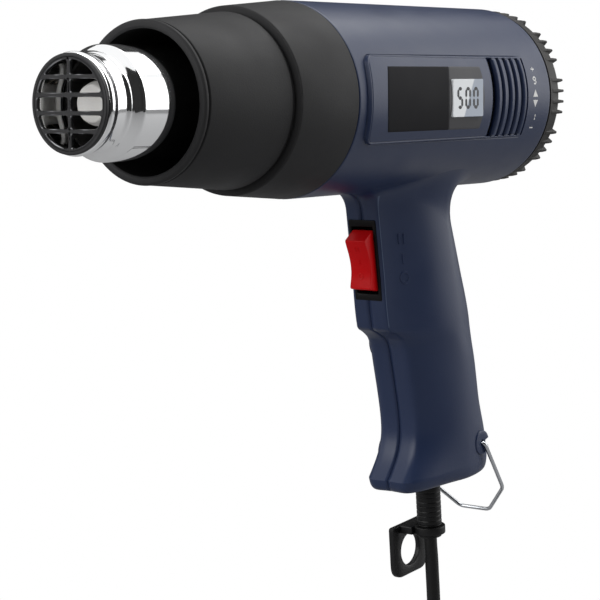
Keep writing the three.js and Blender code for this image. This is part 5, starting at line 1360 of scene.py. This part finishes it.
class HOTAIR_OT_display(bpy.types.Operator):
    """Bare plate, the bezel round the display, the display's face and its digits"""

    bl_idname = "hotair.display"
    bl_label = "Display"

    def execute(self, context):
        plate = finish(
            "plate_black", paint("plate_black"), 0.6, patch=0.06, grain=0.05, wear_and_highlight=0.1, specular=0.04)
        bezel = finish(
            "bezel_grey", paint("bezel_grey"), 0.5, patch=0.06, grain=0.05, wear_and_highlight=0.1, specular=0.15)
        change = BEZEL_FRONT - BEZEL_LAP
        black = plate_points(PLATE_FRONT, PLATE_BOW, change, PLATE_BOW, PLATE_LIFT)
        grey = plate_points(change, PLATE_BOW, PLATE_REAR, BEZEL_BOW, PLATE_LIFT)
        make_piece(
            "display_plate", [sheet(black), sheet(grey, finish=1)], [plate, bezel], "body", "plate_black",
            ("label_plate",), wall=0.7)
        middle = 0.5 * (LCD_FRONT + LCD_REAR)
        outline = rounded_box(0.5 * (LCD_REAR - LCD_FRONT), LCD_HALF, 0.8) + (middle, 0.0)
        face = slab(outline, -LCD_FACE, -LCD_BACK, 0.25, side_place)
        make_piece(
            "display_face", [round_sheet(face)], [display_glass()], "body", "lcd_face", ("lcd_module",))
        dark = finish("display_digits", paint("digit_dark"), 0.5, patch=0.1, grain=0.02, wear_and_highlight=0.0)
        bars = []
        for i, digit in enumerate(DISPLAY_READING):
            at = middle - 0.3 + (i - 1) * DIGIT_PITCH
            for outline in segment_outlines(digit, DIGIT_WIDE, mm("digit_height"), DIGIT_STROKE):
                bar = slab(outline + (at, 0.0), -LCD_FACE - 0.04, -LCD_FACE + 0.2, 0.03, side_place)
                bars.append(round_sheet(bar))
        make_piece("display_digits", bars, [dark], "body", "plate_black")
        return {"FINISHED"}


# Dial and its marks

FIN_PLACES = 50
FIN_GROUP = 5
# Places along the dial, with the radius over a fin and the radius between fins at each
DIAL_X = (259.7, 260.6, 262.0, 262.35, 262.7, 268.9, 272.0, 272.35, DIAL_REAR)
DIAL_TOP = (35.6, 37.8, 37.6, 37.65, 37.7, 37.7, 37.5, 36.0, 34.0)
DIAL_BASE = (35.6, 37.8, 37.6, 37.55, 37.5, 36.6, 33.6, 33.3, 33.0)
FIN_RADIUS = 37.7
# Distance across a fin in fin widths, and the share of its height there
FIN_ACROSS = (-0.95, -0.86, -0.62, -0.5, -0.3, 0.0, 0.3, 0.5, 0.62, 0.86, 0.95)
FIN_RISE = (0.0, 0.05, 0.82, 0.96, 1.0, 1.0, 1.0, 0.96, 0.82, 0.05, 0.0)
DIAL_INSIDE = (
    (272.45, 32.4), (272.2, 30.5), (253.7, 30.5), (253.7, 32.6), (259.4, 32.6), (259.6, 33.2), (259.65, 35.4))
HUB_SECTION = ((252.0, 2.3), (252.0, 6.0), (271.0, 6.0), (271.0, 2.3))
INLET_COUNT = 8
INLET_HALF = 2.75
INLET_FROM = 10.0
INLET_TO = 26.5
MARK_X = 246.5
PLUS_HEIGHT = 11.8
MINUS_HEIGHT = -13.4
UP_HEIGHT = 1.45
DOWN_HEIGHT = -2.9
MARK_DIGITS = (("9", 6.9), ("1", -8.8))


def dial_skin():
    """Radius at (x, angle): the base cone plus the fin's height times its rounded shape. Fins stand in groups
    of four with one place left bare, and the rows then turn in to the skirt and the bore."""
    off = np.array(FIN_ACROSS) * mm("fin_width")
    place = np.arange(FIN_PLACES)
    pitch = 2.0 * math.pi / FIN_PLACES
    middle = (place - 0.5 * (FIN_GROUP - 2)) * pitch
    finned = place % FIN_GROUP != FIN_GROUP - 1
    angle = (middle[:, None] + np.hstack((off / FIN_RADIUS, 0.5 * pitch))).ravel()
    height = (finned[:, None] * np.hstack((FIN_RISE, 0.0))).ravel()
    x = np.concatenate((
        (259.7, 260.1, 260.6, 261.0, 262.0, 262.2, 262.35, 262.5, 262.7), np.linspace(263.2, 268.9, 8),
        np.linspace(269.4, 272.0, 8), (272.2, 272.35, DIAL_REAR)))
    top = np.interp(x, DIAL_X, DIAL_TOP)
    base = np.interp(x, DIAL_X, DIAL_BASE)
    outer = base[:, None] + (top - base)[:, None] * height
    inner_x, inner_r = np.array(DIAL_INSIDE).T
    r = np.vstack((outer, np.broadcast_to(inner_r[:, None], (len(inner_r), len(angle)))))
    rows = np.concatenate((x, inner_x))
    grid_x = np.broadcast_to(rows[:, None], r.shape)
    return np.stack((grid_x, -r * np.cos(angle), r * np.sin(angle)), axis=-1)


def dial_back():
    """Rear plate on a polar grid whose lines beside an inlet keep a fixed distance from the inlet's middle.
    Cells inside the inlets are left out."""
    r = np.concatenate((
        np.linspace(31.6, INLET_TO, 5), np.linspace(INLET_TO, INLET_FROM, 14)[1:],
        np.linspace(INLET_FROM, 6.5, 4)[1:], (6.2, 5.9, 4.0, 2.0, 0.0)))
    edge = np.arcsin(np.clip(INLET_HALF / np.maximum(r, 9.0), 0.0, 1.0))[:, None]
    half = math.pi / INLET_COUNT
    solid_share = np.linspace(0.0, 1.0, 6)[:-1]
    gap_share = np.linspace(-1.0, 1.0, 5)[:-1]
    sector = np.hstack((
        -half + solid_share * (half - edge), gap_share * edge, edge + solid_share * (half - edge)))
    turn = (np.arange(INLET_COUNT) + 0.5) * 2.0 * half
    angle = (turn[None, :, None] + sector[:, None, :]).reshape(len(r), -1)
    dish = 0.7 * smooth((r - 6.0) / 0.3) - 0.5 * smooth((r - 26.0) / 4.0)
    x = DIAL_REAR - 0.4 - dish
    grid_x = np.broadcast_to(x[:, None], angle.shape)
    points = np.stack((grid_x, r[:, None] * np.sin(angle), r[:, None] * np.cos(angle)), axis=-1)
    inlets = np.zeros((len(r) - 1, angle.shape[1]), bool)
    open_rows = (r[1:] > INLET_FROM - 0.01) & (r[:-1] < INLET_TO + 0.01)
    open_cols = np.tile(np.repeat((False, True, False), (5, 4, 5)), INLET_COUNT)
    inlets[np.ix_(open_rows, open_cols)] = True
    return points, inlets


def on_barrel(first, second, level):
    """Outline wrapped on the left of the barrel: first runs along it, second round it and level out."""
    r = mm("barrel_radius") + level
    angle = second / mm("barrel_radius")
    return np.stack((first, -r * np.cos(angle), r * np.sin(angle)), axis=-1)


def dial_marks():
    """Outlines of the printed marks from top to bottom, as (along, round) points about the barrel's side."""
    arm = np.array(((-1.3, -0.25), (1.3, -0.25), (1.3, 0.25), (-1.3, 0.25)))
    triangle = np.array(((-1.95, -1.5), (1.95, -1.5), (0.0, 1.6)))
    at = np.array((MARK_X, 0.0))
    marks = [
        arm + at + (0.0, PLUS_HEIGHT), arm[:, ::-1] * (0.7, 0.75) + at + (0.0, PLUS_HEIGHT),
        arm + at + (0.0, MINUS_HEIGHT), triangle + at + (0.0, UP_HEIGHT),
        triangle * (1.0, -1.0) + at + (0.0, DOWN_HEIGHT)]
    for digit, height in MARK_DIGITS:
        marks.extend(outline + at + (0.0, height) for outline in segment_outlines(digit, 2.7, 3.5, 0.72))
    return marks


class HOTAIR_OT_dial(bpy.types.Operator):
    """Finned temperature dial with its air inlets, and the printed marks beside it"""

    bl_idname = "hotair.dial"
    bl_label = "Temperature dial"

    def execute(self, context):
        black = finish(
            "dial_black", paint("shroud_black") * (1.0, 0.94, 0.84), 0.5, patch=0.12, grain=0.15, wear_and_highlight=0.3,
            specular=0.2)
        hub = turned(soften(HUB_SECTION, 0.4, 3), 48)
        make_piece(
            "dial_ring", [loop_sheet(dial_skin()), loop_sheet(hub)], [black], "dial", "black_plastic",
            ("temperature_dial",), sharp=50.0)
        back, inlets = dial_back()
        make_piece(
            "dial_back", [sheet(back, wrap_cols=True, left_out=inlets)], [black], "dial", "black_plastic",
            wall=2.6)
        white = finish("mark_white", paint("mark_white"), 0.5, patch=0.05, grain=0.03, wear_and_highlight=0.0)
        marks = [round_sheet(slab(outline, -0.2, 0.06, 0.04, on_barrel)) for outline in dial_marks()]
        make_piece("dial_marks", marks, [white], "body", "lcd_face")
        return {"FINISHED"}


# Switch

SWITCH_AT = np.array((174.3, 0.0, -66.3))
SWITCH_TILT = math.radians(8.5)
SWITCH_IN = np.array((math.cos(SWITCH_TILT), 0.0, math.sin(SWITCH_TILT)))
SWITCH_UP = np.array((-math.sin(SWITCH_TILT), 0.0, math.cos(SWITCH_TILT)))
# Half width, half height and level of each cut of the switch's housing, from its back out and in again
SWITCH_CUTS = (
    (5.6, 14.7, 18.0), (5.9, 15.0, 17.7), (5.9, 15.0, 0.6), (6.6, 17.0, 0.6), (6.6, 17.0, -0.15),
    (6.5, 16.9, -0.3), (6.3, 16.7, -0.35), (5.5, 14.4, -0.35), (5.35, 14.25, -0.25), (5.3, 14.2, -0.1),
    (5.3, 14.2, 12.0))
ROCKER_HALF = 5.0
ROCKER_OUTLINE = (
    (0.3, 12.9), (-6.3, 9.6), (-3.9, 0.6), (-3.9, -5.4), (-5.7, -11.0), (0.3, -12.9), (5.0, -8.0),
    (7.5, -3.0), (7.5, 3.0), (5.0, 8.0))
ROCKER_BENDS = (0.7, 0.7, 4.4, 3.0, 0.7, 0.7, 1.0, 1.0, 1.0, 1.0)
ROCKER_MARKS = (5.6, 0.0, -5.8)
FLANK_MARKS = (8.4, 0.0, -7.8)


def on_panel(first, second, level):
    """Switch frame: first across the panel, second up it and level into the grip."""
    return placed(SWITCH_AT, (level, SWITCH_IN), (second, SWITCH_UP), (first, SIDEWAYS))


def raised_marks(place, heights, size, proud):
    """Two bars, one bar and a ring down a face, raised from it. Levels run into the face."""
    bar = size * rounded_box(0.22, 1.1, 0.15, 2)
    top, middle, foot = heights
    spots = ((-0.6 * size, top), (0.6 * size, top), (0.0, middle))
    parts = [round_sheet(slab(bar + at, -proud, 0.3, 0.05, place)) for at in spots]
    angle = full_turn(32)
    ring = size * np.stack((np.cos(angle), 1.15 * np.sin(angle)), axis=1)
    rows = np.stack([share * ring + (0.0, foot) for share in (0.75, 0.8, 1.15, 1.2, 1.2, 0.75)])
    level = np.array((0.4, 1.0, 1.0, 0.4, -3.0, -3.0)) * -proud
    level = np.broadcast_to(level[:, None], rows.shape[:2])
    parts.append(loop_sheet(place(rows[..., 0], rows[..., 1], level)))
    return parts


def on_rocker(outline):
    """Place on the rocker's face: the depth of the face at a height is read from its outline."""
    front = outline[outline[:, 0] < 0.0]
    front = front[np.argsort(front[:, 1])]

    def place(first, second, level):
        return on_panel(first, second, np.interp(second, front[:, 1], front[:, 0]) + level)

    return place


class HOTAIR_OT_switch(bpy.types.Operator):
    """Switch housing with its frame and well, and the rocker"""

    bl_idname = "hotair.switch"
    bl_label = "Switch"

    def execute(self, context):
        black = finish("switch_black", paint("shroud_black") * 0.3, 0.45, patch=0.1, grain=0.08, specular=0.1)
        rows = [rounded_box(wide, tall, 0.7) for wide, tall, _ in SWITCH_CUTS]
        housing = stack(rows, [level for _, _, level in SWITCH_CUTS], on_panel)
        make_piece(
            "switch_frame", [round_sheet(housing)], [black], "body", "black_plastic", ("switch_body",))
        # The rocker's rounded edges lean to a paler red, a painted highlight on its bevels
        red = finish(
            "rocker_red", paint("rocker_red"), 0.34, patch=0.06, smudge=0.04, grain=0.05, wear_and_highlight=0.3,
            wear_and_highlight_to=tone(214, 70, 66), specular=0.1)
        outline = soften(ROCKER_OUTLINE, ROCKER_BENDS, 8)
        body = slab(outline, -ROCKER_HALF, ROCKER_HALF, 0.45, lambda x, z, y: on_panel(y, z, x))
        marks = raised_marks(on_rocker(outline), ROCKER_MARKS, 1.0, 0.2)
        make_piece(
            "rocker_cap", [round_sheet(body), *marks], [red], "rocker", "red_plastic", ("rocker",),
            sharp=28.0)
        return {"FINISHED"}


# Cord sleeve, hanger eye and bail

EYE_HALF = 12.8
EYE_TOP = 21.8
EYE_FOOT = 45.2
EYE_HOLE = 7.2
EYE_MIDDLE = 34.1
BAIL_CORNERS = ((11.5, 0.0), (20.1, 0.0), (20.1, 27.0), (7.6, 42.6))
BAIL_TILT = math.radians(34.4)
# Profiles round the cord's axis, as (distance down, radius) corners
SLEEVE_HEAD = ((-6.7, 3.3), (-6.7, 7.2), (-3.5, 7.2), (-3.5, 4.7), (0.2, 4.7), (0.25, 5.2))
SLEEVE_NECK = (
    (21.5, 5.2), (21.5, 4.3), (25.7, 4.3), (25.75, 4.95), (25.9, 5.1), (26.5, 5.1), (26.7, 4.9), (26.7, 3.3))
SLEEVE_RADIUS = 5.4
RIB_START = 0.3
RIB_END = 21.3
RIB_DEPTH = 0.18
EYE_COLLAR = ((21.8, 4.7), (21.8, 6.8), (25.3, 6.8), (25.3, 4.7))
# Levels of the eye's faces and rounded edges, across one face and back across the other
EYE_LEVELS = (11.1, 10.75, 10.6, 10.6, 10.75, 11.1, 12.7, 13.05, 13.2, 13.2, 13.05, 12.7)


def spread_evenly(outline, count):
    """Closed outline as points a steady distance apart."""
    loop = np.vstack((outline, outline[:1]))
    reach = run_lengths(loop)
    at = np.linspace(0.0, reach[-1], count, endpoint=False)
    return np.stack((np.interp(at, reach, loop[:, 0]), np.interp(at, reach, loop[:, 1])), axis=1)


def eye_plate():
    """Ring-shaped section between a round hole and a rounded rectangle, carried round the hole's middle."""
    corners = ((-EYE_HALF, EYE_TOP), (EYE_HALF, EYE_TOP), (EYE_HALF, EYE_FOOT), (-EYE_HALF, EYE_FOOT))
    outer = spread_evenly(soften(corners, (1.2, 1.2, 6.2, 6.2), 8), 120)
    middle = np.array((0.0, EYE_MIDDLE))
    way = unit(outer - middle)
    hole = middle + EYE_HOLE * way
    rows = (hole, hole + 0.15 * way, hole + 0.5 * way, outer - 0.5 * way, outer - 0.15 * way, outer)
    rows = np.stack((*rows, *rows[::-1]))
    level = np.broadcast_to(np.array(EYE_LEVELS)[:, None], rows.shape[:2])
    return down_cord(rows[..., 0], level, rows[..., 1])


def sleeve_profile():
    """Cord sleeve: a flange in the grip, a wall with narrow grooves a pitch apart, then the swivel's neck."""
    drop = np.arange(RIB_START, RIB_END, 0.12)
    phase = (drop - RIB_START) / mm("rib_pitch") % 1.0
    groove = RIB_DEPTH * np.clip(1.0 - np.abs(phase - 0.85) / 0.17, 0.0, 1.0) ** 0.7
    wall = np.stack((drop, SLEEVE_RADIUS - groove), axis=1)
    return np.vstack((SLEEVE_HEAD, wall, SLEEVE_NECK))


class HOTAIR_OT_hanging(bpy.types.Operator):
    """Ribbed cord sleeve, the hanger eye that swivels on it, and the wire bail"""

    bl_idname = "hotair.hanging"
    bl_label = "Sleeve, eye and bail"

    def execute(self, context):
        jacket = rubber()
        make_piece(
            "cord_sleeve", [loop_sheet(turned_on_cord(sleeve_profile(), 56))],
            [jacket], "body", "black_rubber", ("cord_guard",))
        collar = turned_on_cord(soften(EYE_COLLAR, 0.4, 3), 56)
        outline = rounded_box(7.0, 1.75, 0.6, 3) + (0.0, 23.55)
        arm = stack(
            [drawn_in(outline, 0.2), outline, outline], [4.9, 5.1, 11.2], lambda a, s, y: down_cord(a, y, s))
        make_piece(
            "hanger_plate", [loop_sheet(eye_plate()), round_sheet(arm), loop_sheet(collar)],
            [jacket], "eye", "black_rubber", ("hanger_eye",))
        half = np.array(BAIL_CORNERS)
        loop = np.vstack((half * (-1.0, 1.0), half[::-1]))
        corners = np.stack((
            BAIL_PIVOT[0] + loop[:, 1] * math.sin(BAIL_TILT), loop[:, 0],
            BAIL_PIVOT[1] - loop[:, 1] * math.cos(BAIL_TILT)), axis=1)
        across = np.array((math.cos(BAIL_TILT), 0.0, math.sin(BAIL_TILT)))
        wire = tube(soften(corners, 2.2, 8, closed=False), mm("bail_wire"), across, 18)
        make_piece(
            "bail_wire", [round_sheet(wire)], [plain_steel()], "bail", "steel", ("hanging_bail",))
        return {"FINISHED"}


# Inner parts

INNER_FINISHES = (
    ("inner_black", (40, 40, 42), 0.55, 0.0, (
        "air_guide", "motor_cradle", "fan", "inlet_guard", "triac", "cord_clamp")),
    ("inner_steel", (176, 179, 183), 0.3, 1.0, (
        "motor_can", "motor_shaft", "pot_body", "pot_shaft", "rocker_pin", "clamp_screw_1", "clamp_screw_2",
        "case_screw_1", "case_screw_2", "case_screw_3", "case_screw_4", "case_screw_5", "case_screw_6")),
    ("mica_sheet", (44, 43, 42), 0.4, 0.0, ("mica_tube",)),
    ("board_green", (32, 92, 56), 0.45, 0.0, ("display_board", "power_board")),
    ("capacitor_amber", (196, 140, 44), 0.35, 0.0, ("capacitor",)),
    ("tab_brass", (205, 170, 96), 0.3, 1.0, ("switch_tab_1", "switch_tab_2", "switch_tab_3")),
)
LEAD_TOP = (217.52, -128.91)
LEAD_SPAN = (-34.6, 26.7)
LOW_TAB = (202.43, -71.2)
WIRE_RADIUS = 1.0
WINDING_START = 33.0
WINDING_LONG = 62.0
WINDING_RADIUS = 14.2
WINDING_TURNS = 10.0
WINDING_WIRE = 0.55


def dress(node, look):
    """Gives a solid of the frame one finish."""
    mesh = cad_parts[node].data
    mesh.materials.clear()
    mesh.materials.append(look)


class HOTAIR_OT_inner(bpy.types.Operator):
    """Finishes for the parts inside, and round heater winding, inner lead and wires"""

    bl_idname = "hotair.inner"
    bl_label = "Inner parts"

    def execute(self, context):
        for name, shade, rough, metal, nodes in INNER_FINISHES:
            look = finish(name, tone(*shade), rough, metal=metal, patch=0.12, grain=0.12)
            for node in nodes:
                dress(node, look)
        dress("element_core", heater_ceramic())
        share = np.linspace(0.0, 1.0, 400)
        angle = 2.0 * math.pi * WINDING_TURNS * share
        winding = np.stack((
            WINDING_START + WINDING_LONG * share, WINDING_RADIUS * np.cos(angle),
            WINDING_RADIUS * np.sin(angle)), axis=1)
        hot_wire = finish("heater_wire", tone(150, 140, 130), 0.35, metal=1.0, patch=0.25, grain=0.1)
        make_piece(
            "heater_winding", [round_sheet(tube(winding, WINDING_WIRE, np.array((1.0, 0.0, 0.0)), 10))],
            [hot_wire], "body", "steel", ("heating_coil",))
        lead = CORD_FOOT + np.outer(np.linspace(*LEAD_SPAN, 12), CORD_DOWN)
        make_piece(
            "lead_in_grip", [round_sheet(tube(lead, CORD_RADIUS, SIDEWAYS, 24))], [rubber()], "body",
            "black_rubber", ("inner_lead",))
        top_x, top_z = LEAD_TOP
        tab_x, tab_z = LOW_TAB
        live = (
            (top_x, -1.4, top_z), (top_x - 1.0, -2.2, top_z + 4.0), (212.0, -5.0, -121.0),
            (206.6, -5.5, -110.0), (206.0, -5.0, -98.0), (204.4, -3.0, -86.0),
            (tab_x + 1.2, -0.5, tab_z - 3.0), (tab_x, 0.0, tab_z + 2.0))
        neutral = (
            (top_x, 1.4, top_z), (top_x - 0.6, 2.4, top_z + 2.5), (top_x - 1.2, 4.2, top_z + 4.5),
            (top_x - 1.4, 4.9, -122.4))
        for name, points, shade, slot, node in (
                ("live_conductor", live, (160, 30, 28), "wire_red", "live_wire"),
                ("neutral_conductor", neutral, (40, 62, 140), "wire_blue", "neutral_wire")):
            look = finish(f"{name}_jacket", tone(*shade), 0.4, patch=0.1, grain=0.08)
            wire = tube(flowing(points, 0.6), WIRE_RADIUS, SIDEWAYS, 12)
            make_piece(name, [round_sheet(wire)], [look], "body", slot, (node,))
        return {"FINISHED"}


# Add-on

class HOTAIR_PT_panel(bpy.types.Panel):
    """Sizes, colours and steps of the hot air tool"""

    bl_idname = "HOTAIR_PT_panel"
    bl_label = "Hot air tool"
    bl_space_type = "VIEW_3D"
    bl_region_type = "UI"
    bl_category = "Hot air tool"

    def draw(self, context):
        layout = self.layout
        for step in STEPS:
            layout.operator(step.bl_idname)
        for group in (context.scene.hot_air_sizes, context.scene.hot_air_colours):
            box = layout.box()
            for name in group.bl_rna.properties.keys():
                if name not in ("rna_type", "name"):
                    box.prop(group, name)


STEPS = (
    HOTAIR_OT_stage, HOTAIR_OT_cord, HOTAIR_OT_nozzle, HOTAIR_OT_shroud, HOTAIR_OT_case, HOTAIR_OT_display,
    HOTAIR_OT_dial, HOTAIR_OT_switch, HOTAIR_OT_hanging, HOTAIR_OT_inner)
CLASSES = (HotAirSizes, HotAirColours, *STEPS, HOTAIR_PT_panel)


def register():
    for kind in CLASSES:
        bpy.utils.register_class(kind)
    bpy.types.Scene.hot_air_sizes = bpy.props.PointerProperty(type=HotAirSizes)
    bpy.types.Scene.hot_air_colours = bpy.props.PointerProperty(type=HotAirColours)


def unregister():
    del bpy.types.Scene.hot_air_colours
    del bpy.types.Scene.hot_air_sizes
    for kind in reversed(CLASSES):
        bpy.utils.unregister_class(kind)


def main():
    """Registers the add-on, makes every piece in order and works out the two boxes."""
    register()
    bpy.ops.hotair.stage()
    bpy.ops.hotair.cord()
    bpy.ops.hotair.nozzle()
    bpy.ops.hotair.shroud()
    bpy.ops.hotair.case()
    bpy.ops.hotair.display()
    bpy.ops.hotair.dial()
    bpy.ops.hotair.switch()
    bpy.ops.hotair.hanging()
    bpy.ops.hotair.inner()
    bpy.context.view_layer.update()
    boxes = {"cad": CAD_BOX, "visual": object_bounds()}
    plain = {name: [[float(value) for value in corner] for corner in box] for name, box in boxes.items()}


if __name__ == "__main__":
    main()
